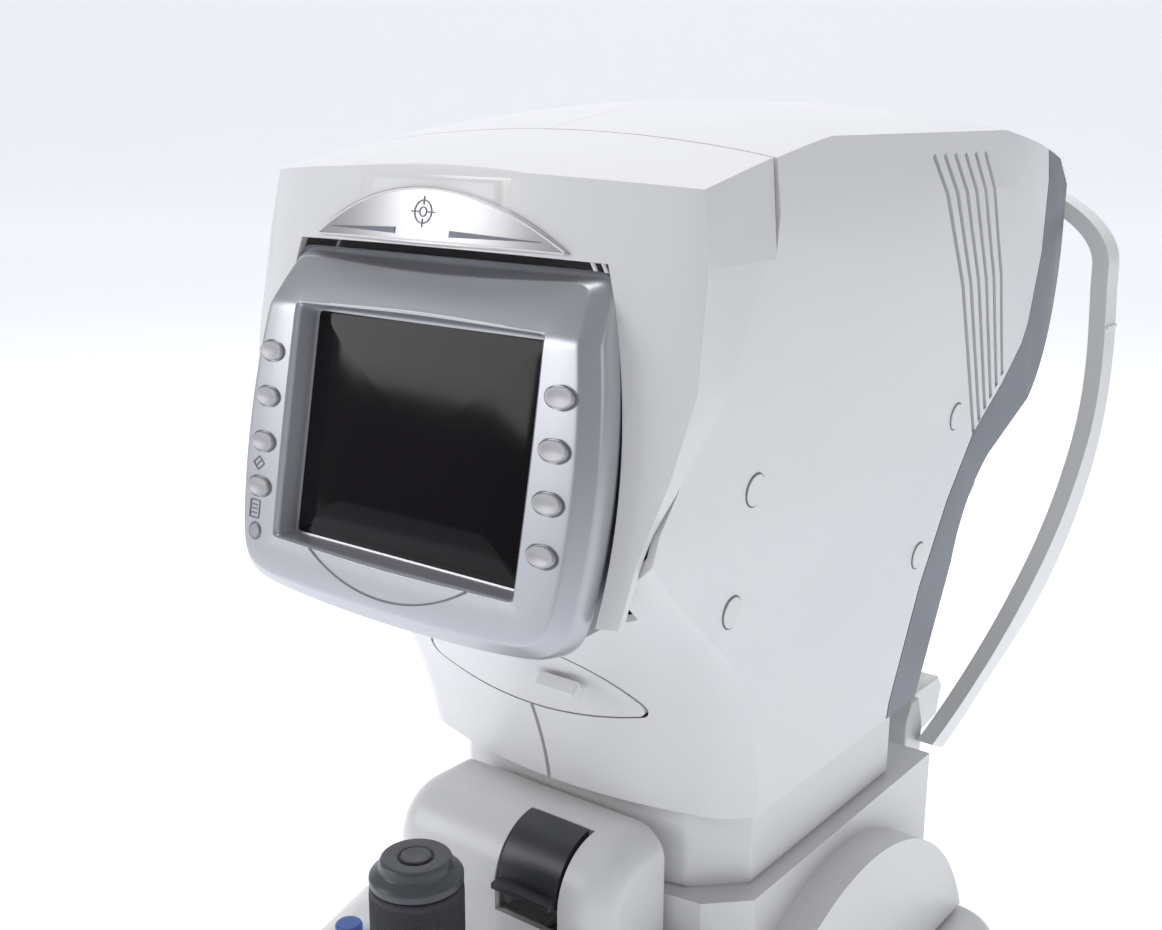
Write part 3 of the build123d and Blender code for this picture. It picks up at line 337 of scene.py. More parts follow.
class Effects:
    """Shader node groups that the finishes share, each built once."""

    @staticmethod
    def _new(
        name: str, inputs: dict[str, tuple[str, object]], outputs: dict[str, str]
    ) -> tuple[bpy.types.NodeTree, bpy.types.Node, bpy.types.Node]:
        """Starts a group with its named sockets.

        Args:
            name: the group's name.
            inputs: socket type and first value of each input.
            outputs: socket type of each output.

        Returns:
            The node tree, the node of its inputs and the node of its outputs.
        """
        tree = bpy.data.node_groups.new(name, "ShaderNodeTree")
        for label, (kind, value) in inputs.items():
            socket = tree.interface.new_socket(label, in_out="INPUT", socket_type=kind)
            if value is not None:
                socket.default_value = value
        for label, kind in outputs.items():
            tree.interface.new_socket(label, in_out="OUTPUT", socket_type=kind)
        return tree, tree.nodes.new("NodeGroupInput"), tree.nodes.new("NodeGroupOutput")

    @classmethod
    @cache
    def drift(cls) -> bpy.types.NodeTree:
        """Two tones that run slowly into each other over the surface, with a finer speckle on top."""
        tree, given, result = cls._new(
            "tone_drift",
            {
                "Vector": ("NodeSocketVector", None),
                "Tone": ("NodeSocketColor", (0.8, 0.8, 0.8, 1.0)),
                "Other Tone": ("NodeSocketColor", (0.7, 0.7, 0.7, 1.0)),
                "Patch Scale": ("NodeSocketFloat", 9.0),
                "Speckle Scale": ("NodeSocketFloat", 900.0),
                "Low": ("NodeSocketFloat", 0.3),
                "High": ("NodeSocketFloat", 0.5),
            },
            {"Color": "NodeSocketColor", "Roughness": "NodeSocketFloat", "Mask": "NodeSocketFloat"},
        )
        patch = add(tree, "ShaderNodeTexNoise", {"Detail": 3.0})
        speckle = add(tree, "ShaderNodeTexNoise", {"Detail": 1.0})
        blend = add(tree, "ShaderNodeMath", {1: 0.35}, operation="MULTIPLY_ADD")
        spread = add(tree, "ShaderNodeMapRange", {"From Min": 0.35, "From Max": 0.65, "To Max": 0.8})
        mix = add(tree, "ShaderNodeMix", data_type="RGBA")
        rough = add(tree, "ShaderNodeMapRange")
        wire(
            tree,
            (given, "Vector", patch, "Vector"),
            (given, "Vector", speckle, "Vector"),
            (given, "Patch Scale", patch, "Scale"),
            (given, "Speckle Scale", speckle, "Scale"),
            (speckle, "Fac", blend, 0),
            (patch, "Fac", spread, "Value"),
            (spread, "Result", blend, 2),
            (blend, "Value", mix, "Factor"),
            (given, "Tone", mix, "A"),
            (given, "Other Tone", mix, "B"),
            (blend, "Value", rough, "Value"),
            (given, "Low", rough, "To Min"),
            (given, "High", rough, "To Max"),
            (mix, "Result", result, "Color"),
            (rough, "Result", result, "Roughness"),
            (blend, "Value", result, "Mask"),
        )
        return tree

    @classmethod
    @cache
    def grain(cls) -> bpy.types.NodeTree:
        """The fine relief of moulded, cast or brushed surfaces, as a height from 0 to 1."""
        tree, given, result = cls._new(
            "surface_grain",
            {
                "Vector": ("NodeSocketVector", None),
                "Stretch": ("NodeSocketVector", (1.0, 1.0, 1.0)),
                "Scale": ("NodeSocketFloat", 1500.0),
                "Pits": ("NodeSocketFloat", 0.3),
            },
            {"Height": "NodeSocketFloat"},
        )
        stretch = add(tree, "ShaderNodeVectorMath", operation="MULTIPLY")
        noise = add(tree, "ShaderNodeTexNoise", {"Detail": 2.0})
        cells = add(tree, "ShaderNodeTexVoronoi")
        total = add(tree, "ShaderNodeMath", operation="MULTIPLY_ADD")
        wire(
            tree,
            (given, "Vector", stretch, 0),
            (given, "Stretch", stretch, 1),
            (stretch, "Vector", noise, "Vector"),
            (given, "Scale", noise, "Scale"),
            (stretch, "Vector", cells, "Vector"),
            (given, "Scale", cells, "Scale"),
            (cells, "Distance", total, 0),
            (given, "Pits", total, 1),
            (noise, "Fac", total, 2),
            (total, "Value", result, "Height"),
        )
        return tree

    @classmethod
    @cache
    def dust(cls) -> bpy.types.NodeTree:
        """A thin film that settles on faces that look up, broken by noise."""
        tree, given, result = cls._new(
            "settled_dust",
            {
                "Vector": ("NodeSocketVector", None),
                "Color": ("NodeSocketColor", (0.8, 0.8, 0.8, 1.0)),
                "Dust": ("NodeSocketColor", (0.72, 0.71, 0.68, 1.0)),
                "Amount": ("NodeSocketFloat", 0.1),
            },
            {"Color": "NodeSocketColor"},
        )
        geometry = add(tree, "ShaderNodeNewGeometry")
        split = add(tree, "ShaderNodeSeparateXYZ")
        upward = add(tree, "ShaderNodeMapRange", {"From Min": 0.3})
        noise = add(tree, "ShaderNodeTexNoise", {"Scale": 60.0, "Detail": 5.0})
        part = add(tree, "ShaderNodeMath", operation="MULTIPLY")
        amount = add(tree, "ShaderNodeMath", operation="MULTIPLY")
        mix = add(tree, "ShaderNodeMix", data_type="RGBA")
        wire(
            tree,
            (geometry, "Normal", split, "Vector"),
            (split, "Z", upward, "Value"),
            (given, "Vector", noise, "Vector"),
            (upward, "Result", part, 0),
            (noise, "Fac", part, 1),
            (part, "Value", amount, 0),
            (given, "Amount", amount, 1),
            (amount, "Value", mix, "Factor"),
            (given, "Color", mix, "A"),
            (given, "Dust", mix, "B"),
            (mix, "Result", result, "Color"),
        )
        return tree


def toned(tree: bpy.types.NodeTree, values: Values) -> tuple[bpy.types.Node, bpy.types.Node]:
    """Starts a material with its place and drifting tones, which also set the shader's roughness.

    Args:
        tree: the material's node tree.
        values: values of the drift group's inputs.

    Returns:
        The node of the place, and the drift group's node.
    """
    place = add(tree, "ShaderNodeTexCoord")
    drift = tree.nodes.new("ShaderNodeGroup")
    drift.node_tree = Effects.drift()
    for label, value in values.items():
        drift.inputs[label].default_value = value
    shader = tree.nodes["Principled BSDF"]
    wire(tree, (place, "Object", drift, "Vector"), (drift, "Roughness", shader, "Roughness"))
    return place, drift


@dataclass(frozen=True)
class Finish:
    """One finish of the object, and the values that its material is built from."""

    slot: str
    tone: Colour
    other: Colour
    low: float
    high: float
    pattern: Pattern = Pattern.MOULDED
    metallic: float = 0.0
    specular: float = 0.5
    coat: float = 0.0
    coat_roughness: float = 0.1
    sheen: float = 0.0
    transmission: float = 0.0
    dust: float = 0.0

    def relief(self) -> tuple[float, Colour, float, float]:
        """Scale, stretch, pits and depth of the relief that goes with the pattern."""
        return {
            Pattern.MOULDED: (1400.0, (1.0, 1.0, 1.0), 0.4, 0.00002),
            Pattern.FLAKE: (1800.0, (1.0, 1.0, 1.0), 0.6, 0.000004),
            Pattern.BRUSHED: (900.0, (0.03, 1.0, 1.0), 0.0, 0.00003),
            Pattern.RUBBER: (900.0, (1.0, 1.0, 1.0), 0.6, 0.00008),
            Pattern.CAST: (420.0, (1.0, 1.0, 1.0), 0.5, 0.00016),
            Pattern.PLAIN: (200.0, (1.0, 1.0, 1.0), 0.0, 0.000004),
        }[self.pattern]

    def material(self) -> bpy.types.Material:
        """Builds the finish as a node material.

        Returns:
            The new material.
        """
        material = bpy.data.materials.new(self.slot)
        material.use_nodes = True
        tree = material.node_tree
        shader = tree.nodes["Principled BSDF"]
        tones = {"Tone": (*self.tone, 1.0), "Other Tone": (*self.other, 1.0)}
        place, coloured = toned(tree, {**tones, "Low": self.low, "High": self.high})
        if self.dust > 0:
            film = tree.nodes.new("ShaderNodeGroup")
            film.node_tree = Effects.dust()
            film.inputs["Amount"].default_value = self.dust
            wire(tree, (place, "Object", film, "Vector"), (coloured, "Color", film, "Color"))
            coloured = film
        scale, stretch, pits, depth = self.relief()
        grain = tree.nodes.new("ShaderNodeGroup")
        grain.node_tree = Effects.grain()
        for label, value in (("Scale", scale), ("Stretch", stretch), ("Pits", pits)):
            grain.inputs[label].default_value = value
        bump = add(tree, "ShaderNodeBump", {"Strength": 0.5, "Distance": depth})
        wire(
            tree,
            (coloured, "Color", shader, "Base Color"),
            (place, "Object", grain, "Vector"),
            (grain, "Height", bump, "Height"),
            (bump, "Normal", shader, "Normal"),
        )
        for label, value in (
            ("Metallic", self.metallic),
            ("Specular IOR Level", self.specular),
            ("Coat Weight", self.coat),
            ("Coat Roughness", self.coat_roughness),
            ("Sheen Weight", self.sheen),
            ("Transmission Weight", self.transmission),
        ):
            shader.inputs[label].default_value = value
        return material


FINISHES = (
    Finish("white_shell", (0.765, 0.76, 0.755), (0.74, 0.735, 0.735), 0.28, 0.35, dust=0.05),
    Finish("white_frame", (0.765, 0.765, 0.75), (0.735, 0.735, 0.72), 0.26, 0.33, dust=0.05),
    Finish("white_key", (0.40, 0.395, 0.40), (0.37, 0.365, 0.375), 0.36, 0.42, Pattern.FLAKE, 0.35),
    Finish("silver_bezel", (0.47, 0.475, 0.50), (0.45, 0.455, 0.48), 0.33, 0.37, Pattern.FLAKE, 0.6,
           coat=0.15, coat_roughness=0.25),
    Finish("grey_back", (0.20, 0.205, 0.225), (0.16, 0.165, 0.18), 0.35, 0.45),
    Finish("slate_plastic", (0.165, 0.175, 0.205), (0.135, 0.145, 0.17), 0.34, 0.44, dust=0.06),
    Finish("badge_grey", (0.50, 0.49, 0.49), (0.43, 0.42, 0.43), 0.28, 0.38, Pattern.BRUSHED, 0.6),
    Finish("screen_black", (0.007, 0.0055, 0.0065), (0.010, 0.008, 0.009), 0.06, 0.1, Pattern.PLAIN,
           specular=0.14),
    Finish("black_plastic", (0.022, 0.023, 0.027), (0.032, 0.033, 0.038), 0.28, 0.38, dust=0.04),
    Finish("knob_grey", (0.085, 0.088, 0.10), (0.065, 0.068, 0.078), 0.30, 0.38, dust=0.05),
    Finish("knob_rubber", (0.020, 0.020, 0.023), (0.032, 0.032, 0.036), 0.55, 0.7, Pattern.RUBBER, dust=0.1),
    Finish("blue_cap", (0.045, 0.13, 0.42), (0.035, 0.10, 0.36), 0.25, 0.33),
    Finish("lamp_lens", (0.42, 0.43, 0.44), (0.34, 0.35, 0.36), 0.12, 0.2, coat=0.6),
    Finish("foot_rubber", (0.025, 0.025, 0.026), (0.045, 0.044, 0.044), 0.65, 0.8, Pattern.RUBBER, dust=0.15),
    Finish("pad_vinyl", (0.60, 0.61, 0.62), (0.54, 0.55, 0.56), 0.42, 0.55, Pattern.RUBBER, sheen=0.15),
    Finish("casting", (0.30, 0.31, 0.32), (0.24, 0.25, 0.26), 0.5, 0.65, Pattern.CAST, 0.3),
    Finish("machined", (0.62, 0.62, 0.63), (0.55, 0.55, 0.56), 0.25, 0.4, Pattern.BRUSHED, 1.0),
    Finish("steel", (0.58, 0.58, 0.59), (0.50, 0.50, 0.51), 0.2, 0.32, Pattern.BRUSHED, 1.0),
    Finish("optic_black", (0.018, 0.018, 0.02), (0.028, 0.028, 0.03), 0.45, 0.6, Pattern.CAST),
    Finish("window_glass", (0.10, 0.11, 0.14), (0.08, 0.09, 0.12), 0.02, 0.05, Pattern.PLAIN,
           coat=1.0, coat_roughness=0.02),
    Finish("board_green", (0.02, 0.13, 0.06), (0.015, 0.09, 0.045), 0.35, 0.5, Pattern.CAST),
    Finish("inlet_black", (0.02, 0.02, 0.021), (0.035, 0.035, 0.037), 0.4, 0.52),
    Finish("paper", (0.88, 0.87, 0.84), (0.82, 0.81, 0.77), 0.8, 0.92, Pattern.CAST),
)


class Paint:
    """Dresses pieces and frame nodes in the finishes."""

    def __init__(self) -> None:
        """Builds every finish once."""
        self.materials = {finish.slot: finish.material() for finish in FINISHES}

    def piece(self, piece: bpy.types.Object, slot: str, body: str, *nodes: str) -> bpy.types.Object:
        """Gives a new piece its finish, its body and the frame nodes that it stands for.

        Args:
            piece: the new piece.
            slot: name of its finish.
            body: body that it moves with.
            nodes: frame nodes that it replaces.

        Returns:
            The same piece.
        """
        piece.data.materials.clear()
        piece.data.materials.append(self.materials[slot])
        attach(piece, body)
        if nodes:
            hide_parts(*nodes)
        log.info("%s: %s on %s", piece.name, slot, body)
        return piece

    def rounded(self, body: str, node: str, name: str, slot: str, radius: float, segments: int = 3) -> None:
        """Puts a softened copy in a node's stead.

        Args:
            body: body that it moves with.
            node: the frame node.
            name: the new piece's name.
            slot: name of its finish.
            radius: width of the rounding, in millimetres.
            segments: number of steps in the rounding.
        """
        self.piece(softened(node, name, radius, segments), slot, body, node)

    def node(self, node: str, slot: str) -> None:
        """Puts a finish in a frame node's own material slots.

        Args:
            node: the frame node.
            slot: name of the finish.
        """
        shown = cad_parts[node]
        if not shown.material_slots:
            shown.data.materials.append(None)
        for place in shown.material_slots:
            place.material = self.materials[slot]
        log.info("%s: %s, as in the frame", node, slot)


# ---------------------------------------------------------------- monitor


@dataclass
class Monitor:
    """The tilting colour monitor: bezel, glass, keys, lamp and its back."""

    centre: tuple[float, float, float] = (0.0, -196.5, 339.0)
    tilt: float = math.radians(10.9)
    half_width: float = 85.6
    widest_row: float = -8.0
    side_bow: float = 0.00195
    top: float = 67.0
    bottom: float = 67.1
    bottom_bow: float = 0.00074
    opening: tuple[float, float] = (57.6, 43.2)
    face: float = 3.0
    brow_row: float = 43.0
    brow_slope: float = 0.44
    glass_depth: float = -6.0
    back_depth: float = -14.0
    key_x: float = 69.9
    key_rows: tuple[float, ...] = (25.0, 7.6, -9.8, -27.2)
    key_size: tuple[float, float] = (6.15, 3.6)
    lamp_row: float = -44.6
    smile_centre: float = 16.0
    smile_radius: float = 73.0

    def place(self, x: np.ndarray, v: np.ndarray, depth: np.ndarray) -> np.ndarray:
        """Places in the row frame of points given across, up and out of the screen.

        Args:
            x: distance to the right.
            v: distance up the screen.
            depth: distance out of the screen, towards the operator.

        Returns:
            The places, three numbers each.
        """
        x, v, depth = np.broadcast_arrays(x, v, depth)
        across = np.array([1.0, 0.0, 0.0])
        up = np.array([0.0, math.sin(self.tilt), math.cos(self.tilt)])
        out = np.array([0.0, -math.cos(self.tilt), math.sin(self.tilt)])
        return np.array(self.centre) + x[..., None] * across + v[..., None] * up + depth[..., None] * out

    def face_depth(self, v: np.ndarray) -> np.ndarray:
        """Depth of the face at a height: flat, then falling back above the brow by a smooth ramp."""
        above = np.logaddexp(0.0, (v - self.brow_row) / 0.7) * 0.7
        return self.face - self.brow_slope * above

    def reach(self, angle: np.ndarray, side: Extent, end: Extent, power: Extent) -> np.ndarray:
        """Radius of a rectangle with rounded corners in each direction, by a p-norm of its two sides."""
        across = np.abs(np.cos(angle)) / side
        up = np.abs(np.sin(angle)) / end
        return (across**power + up**power) ** (-1.0 / power)

    def outline(self, angle: np.ndarray) -> np.ndarray:
        """Radius of the bezel's outline: bowed sides and a bowed bottom joined at rounded corners.

        Args:
            angle: directions from the screen's middle.

        Returns:
            The radius in each direction.
        """
        radius = self.reach(angle, self.half_width, self.top, 20.0)
        for _ in range(6):
            x, v = radius * np.cos(angle), radius * np.sin(angle)
            side = self.half_width - self.side_bow * (v - self.widest_row) ** 2
            end = np.where(v > 0, self.top, self.bottom - self.bottom_bow * x**2)
            power = np.where(v > 0, 34.0, 13.0)
            radius = self.reach(angle, side, end, power)
        return radius

    def bezel(self, columns: int = 640) -> bpy.types.Object:
        """The bezel: loops from the glass, up the reveal, over the face and round the edge to the back."""
        angle = around(columns)
        inner = self.reach(angle, *self.opening, OPENING_POWER)
        outer = self.outline(angle)
        rows = []

        def loop(radius: np.ndarray, sunk: float, from_face: bool = True) -> None:
            """Adds one loop at a radius, sunk below the face or at a depth of its own."""
            v = radius * np.sin(angle)
            depth = self.face_depth(v) - sunk if from_face else np.full_like(v, sunk)
            rows.append(self.place(radius * np.cos(angle), v, depth))

        loop(inner * 0.97, self.glass_depth - 0.6, False)
        loop(inner, self.glass_depth - 0.4, False)
        loop(inner + 0.15, self.glass_depth + 0.2, False)
        for step in np.linspace(0.0, 1.0, 5):
            loop(inner + 0.2 + 2.0 * step, (self.face - self.glass_depth - 1.2) * (1.0 - step) + 0.7)
        for turn in np.linspace(0.2, 1.0, 5):
            loop(inner + 2.2 + 1.0 * math.sin(turn * math.pi / 2), 0.7 * (1.0 - math.sin(turn * math.pi / 2)))
        start, end = inner + 3.4, outer - 7.6
        for share in np.linspace(0.0, 1.0, 14):
            loop(start + (end - start) * share, -0.25 * math.sin(share * math.pi))
        chamfer = rounded_profile(
            np.array([(-7.6, 0.0), (-6.4, 0.15), (-0.7, 5.0), (0.0, 7.0)]), np.array([0.0, 0.8, 0.7, 0.0]), 5
        )
        for reach, sunk in chamfer[1:]:
            loop(outer + reach, sunk)
        loop(outer, -10.8, False)
        loop(outer - 0.5, -12.6, False)
        loop(outer - 2.4, self.back_depth, False)
        loop(inner + 2.0, self.back_depth, False)
        loop(inner * 0.97, self.glass_depth - 1.4, False)
        rows.append(rows[0])
        return put_grid("monitor_bezel_face", np.array(rows), True, Edge.OPEN, Edge.OPEN, 50.0)

    def glass(self, columns: int = 640) -> bpy.types.Object:
        """The screen: a slab with a faint crown, its edge just under the bezel's reveal."""
        angle = around(columns)
        inner = self.reach(angle, *self.opening, OPENING_POWER)
        rows = []
        underside = ((0.3, -13.0), (1.02, -13.0))
        crown = ((1.02, -7.0), (0.96, -6.2), (0.6, -6.1), (0.2, -6.05))
        for share, depth in underside + crown:
            radius = inner * share
            rows.append(self.place(radius * np.cos(angle), radius * np.sin(angle), np.full(columns, depth)))
        return put_grid("screen_glass", np.array(rows))

    def key(self, name: str, x: float, v: float) -> bpy.types.Object:
        """An oval key: an upright edge, a small rounding and a top that is dished by a shallow cosine."""
        angle = around(BUTTON_COLUMNS)
        base = float(self.face_depth(np.array(v)))
        stations = [(1.0, -2.6), (1.0, 0.9)]
        for turn in np.linspace(0.2, math.pi / 2, 6):
            stations.append((1.0 - 0.14 * (1 - math.cos(turn)), 0.9 + 0.8 * math.sin(turn)))
        for share in (0.75, 0.6, 0.4, 0.2):
            stations.append((share, 1.7 - 0.45 * math.cos(share / 0.86 * math.pi / 2)))
        rows = [
            self.place(
                x + scale * self.key_size[0] * np.cos(angle),
                v + scale * self.key_size[1] * np.sin(angle),
                np.full(BUTTON_COLUMNS, base + lift),
            )
            for scale, lift in stations
        ]
        return put_grid(name, np.array(rows), sharp=50.0)

    def oval_path(self, x: float, v: float, half: tuple[float, float], lift: float) -> np.ndarray:
        """Points of an oval on the face."""
        angle = around(BUTTON_COLUMNS)
        across, up = x + half[0] * np.cos(angle), v + half[1] * np.sin(angle)
        return self.place(across, up, self.face_depth(up) + lift)

    def normals(self, count: int) -> np.ndarray:
        """The direction out of the screen, once for each point."""
        out = np.array([0.0, -math.cos(self.tilt), math.sin(self.tilt)])
        return np.tile(out, (count, 1))

    def smile(self) -> bpy.types.Object:
        """The thin curved groove below the screen, an arc of a circle laid in the face, drawn as a dark bead
        of painted shade.
        """
        angle = np.radians(np.linspace(-122.5, -57.5, 90))
        x = self.smile_radius * np.cos(angle)
        v = self.smile_centre + self.smile_radius * np.sin(angle)
        # Dark bead: painted shade standing in for the groove's shadow.
        path = self.place(x, v, self.face_depth(v) + 0.45)
        return ribbon("screen_arc_groove_shade", path, self.normals(len(path)), 0.7, 0.12, False)

    def symbol(self, name: str, x: float, v: float, strokes: list[list[Row]]) -> list[bpy.types.Object]:
        """Small plain line drawings beside the keys, each stroke a fine bead.

        Args:
            name: stem of the strokes' names.
            x: middle of the drawing across.
            v: middle of the drawing up.
            strokes: corner points of each stroke, about the middle.

        Returns:
            The strokes.
        """
        made = []
        for number, stroke in enumerate(strokes, start=1):
            corners = np.array(stroke, dtype=float)
            share = np.linspace(0.0, len(corners) - 1.0, 8 * (len(corners) - 1) + 1)
            across = np.interp(share, np.arange(len(corners)), corners[:, 0]) + x
            up = np.interp(share, np.arange(len(corners)), corners[:, 1]) + v
            path = self.place(across, up, self.face_depth(up) + 0.4)
            made.append(ribbon(f"{name}_{number}", path, self.normals(len(path)), 0.55, 0.1, False))
        return made

    def build(self, paint: Paint) -> None:
        """Builds and dresses the monitor's pieces.

        Args:
            paint: the finishes.
        """
        paint.piece(self.bezel(), "silver_bezel", "monitor", "monitor_bezel")
        paint.piece(self.glass(), "screen_black", "monitor", "display_panel")
        paint.rounded("monitor", "monitor_back", "monitor_back_shell", "grey_back", 2.5, 4)
        paint.piece(self.smile(), "slate_plastic", "monitor")
        for side, sign in (("left", -1.0), ("right", 1.0)):
            for number, row in enumerate(self.key_rows, start=1):
                node = f"{side}_key_{number}"
                paint.piece(self.key(f"{node}_cap", sign * self.key_x, row), "white_key", node, node)
                # Dark ring round each key: painted shade in the gap between the key and the bezel.
                half = (self.key_size[0] + 0.45, self.key_size[1] + 0.45)
                path = self.oval_path(sign * self.key_x, row, half, 0.12)
                ring = ribbon(f"{node}_gap", path, self.normals(BUTTON_COLUMNS), 0.9, 0.14, True)
                paint.piece(ring, "slate_plastic", "monitor")
        lamp_path = self.oval_path(-self.key_x, self.lamp_row, (3.2, 3.2), 0.15)
        ring = ribbon("lamp_ring", lamp_path, self.normals(BUTTON_COLUMNS), 0.8, 0.35, True)
        paint.piece(ring, "grey_back", "monitor")
        paint.node("pilot_lamp", "lamp_lens")
        sheet = [[(-2.6, 3.4), (2.6, 3.4), (2.6, -3.4), (-2.6, -3.4), (-2.6, 3.4)]]
        sheet += [[(-1.4, up), (1.4, up)] for up in (1.6, 0.0, -1.6)]
        card = [[(-3.0, 0.0), (0.0, 2.6), (3.0, 0.0), (0.0, -2.6), (-3.0, 0.0)], [(-1.5, -1.3), (1.5, 1.3)]]
        strokes = self.symbol("print_mark", -self.key_x - 1.4, -36.2, sheet)
        strokes += self.symbol("card_mark", -self.key_x - 1.6, -18.4, card)
        for stroke in strokes:
            paint.piece(stroke, "slate_plastic", "monitor")


# ---------------------------------------------------------------- head


@dataclass
class Head:
    """The white head: hood, side shells, rear band, badge, printer door and what is inside."""

    badge_half_width: float = 59.0
    badge_low: float = 71.6
    badge_rise: float = 17.6
    badge_depth: float = 2.85
    bow: float = 538.0
    edge: float = 1.0
    cap_gap_radius: float = 6.25
    cap_half: float = 6.0
    shell_rows: tuple[float, ...] = (176.0, 250.0, 320.0, 380.0)
    shell_half_widths: tuple[float, ...] = (88.0, 94.0, 99.0, 104.0)
    reticle_row: float = 81.2
    caps: tuple[Row, ...] = ((-119.5, 322.0), (-127.5, 277.0), (59.5, 318.0), (37.5, 256.0))

    def badge_place(self, screen: Monitor, x: np.ndarray, v: np.ndarray, lift: Extent = 0.0) -> np.ndarray:
        """Places on or above the badge, which is bowed across: its depth falls with the square of x."""
        return screen.place(x, v, self.badge_depth - x**2 / self.bow + lift)

    def side_at(self, z: float) -> float:
        """Half width of the side shells at a height, from the heights where the shell changes its slope."""
        return float(np.interp(z, self.shell_rows, self.shell_half_widths))

    def cap_shade_rings(self, paint: Paint) -> None:
        """Painted shade in the recess round each screw cap: a circle of dark beads on the sloping side of the
        shell.
        """
        angle = around(64)
        for side, sign in (("left", -1.0), ("right", 1.0)):
            for number, (y, z) in enumerate(self.caps, start=1):
                up = z + self.cap_gap_radius * np.sin(angle)
                low, high = self.side_at(z - self.cap_half), self.side_at(z + self.cap_half)
                share = (up - z + self.cap_half) / (2.0 * self.cap_half)
                x = sign * (low + (high - low) * share + 0.05)
                path = np.stack([x, y + self.cap_gap_radius * np.cos(angle), up], axis=-1)
                out = np.tile(np.array([sign, 0.0, 0.0]), (64, 1))
                # Dark bead painted as the shade in the recess round the cap.
                ring = ribbon(f"{side}_cap_gap_shade_{number}", path, out, 0.8, 0.12, True)
                paint.piece(ring, "slate_plastic", "head")

    def wedge(
        self, screen: Monitor, name: str, start: float, end: float, row: float, tall: float
    ) -> bpy.types.Object:
        """A tapered bar on the badge: a low box section whose height shrinks evenly from start to end.

        Args:
            screen: the monitor, for its axes.
            name: the piece's name.
            start: where the bar is tallest, across.
            end: where the bar ends in a thin tip.
            row: its middle line, up.
            tall: its height at the start.

        Returns:
            The new object.
        """
        share = np.linspace(0.0, 1.0, 24)[:, None]
        x = start + (end - start) * share
        half = tall / 2 * (1.0 - 0.9 * share)
        up = row + half * np.array([-1.0, -0.9, 0.9, 1.0])
        lift = np.array([-0.5, 0.12, 0.12, -0.5])
        x = np.broadcast_to(x, up.shape)
        grid = self.badge_place(screen, x, up, lift)
        return put_grid(name, grid)

    def emblem(self, paint: Paint) -> None:
        """The badge's plain decoration: a border bead, a measuring reticle and two tapered bars."""
        screen = Monitor()
        normals = screen.normals
        across = np.linspace(-1.0, 1.0, 120)
        top = self.badge_low + self.badge_rise * (1.0 - across**2)
        border = self.badge_place(screen, across * self.badge_half_width, top)
        paint.piece(ribbon("badge_border_top", border, normals(120), 0.7, 0.18, False), "white_shell", "head")
        low = self.badge_place(screen, across * self.badge_half_width, np.full(120, self.badge_low - 0.4))
        paint.piece(ribbon("badge_border_low", low, normals(120), 0.7, 0.18, False), "white_shell", "head")
        angle = around(BUTTON_COLUMNS)
        for name, radius in (("outer", 4.0), ("inner", 1.6)):
            up = self.reticle_row + radius * np.sin(angle)
            circle = self.badge_place(screen, radius * np.cos(angle), up)
            ring = ribbon(f"badge_reticle_{name}", circle, normals(BUTTON_COLUMNS), 0.5, 0.14, True)
            paint.piece(ring, "slate_plastic", "head")
        ticks = ((2.4, 5.6, 0.0), (-5.6, -2.4, 0.0), (0.0, 0.0, 1.0), (0.0, 0.0, -1.0))
        for number, (start, end, up) in enumerate(ticks, start=1):
            share = np.linspace(0.0, 1.0, 8)
            x = start + (end - start) * share
            v = self.reticle_row + up * (2.4 + 3.0 * share)
            line = self.badge_place(screen, x, v)
            tick = ribbon(f"badge_tick_{number}", line, normals(8), 0.5, 0.14, False)
            paint.piece(tick, "slate_plastic", "head")
        for side, sign in (("left", -1.0), ("right", 1.0)):
            bar = self.wedge(screen, f"badge_bar_{side}", sign * 13.0, sign * 50.0, 74.2, 2.4)
            paint.piece(bar, "slate_plastic", "head")

    def build(self, paint: Paint) -> None:
        """Builds and dresses the head's pieces.

        Args:
            paint: the finishes.
        """
        paint.piece(softened("front_cover", "hood", 3.2, 5, 24.0), "white_shell", "head", "front_cover")
        for side in ("left", "right"):
            paint.rounded("head", f"{side}_side_shell", f"{side}_shell", "white_shell", self.edge)
        paint.rounded("head", "back_cover", "rear_band", "slate_plastic", 2.0)
        paint.rounded("head", "badge_plate", "badge", "badge_grey", 0.6, 2)
        paint.rounded("head", "screw_caps", "shell_screw_caps", "white_shell", 0.8)
        paint.rounded("printer_door", "printer_door", "printer_flap", "white_shell", 1.2)
        paint.rounded("door_latch", "door_latch", "printer_latch", "white_shell", 0.8)
        self.emblem(paint)
        self.cap_shade_rings(paint)
        for node, slot in (
            ("optical_bench", "casting"),
            ("lens_tube", "optic_black"),
            ("objective_window", "window_glass"),
            ("mire_ring", "white_frame"),
            ("camera_module", "optic_black"),
            ("main_board", "board_green"),
            ("printer_body", "black_plastic"),
            ("monitor_bracket", "casting"),
            ("platen_roller", "foot_rubber"),
            ("paper_roll", "paper"),
        ):
            paint.node(node, slot)


# ---------------------------------------------------------------- stage


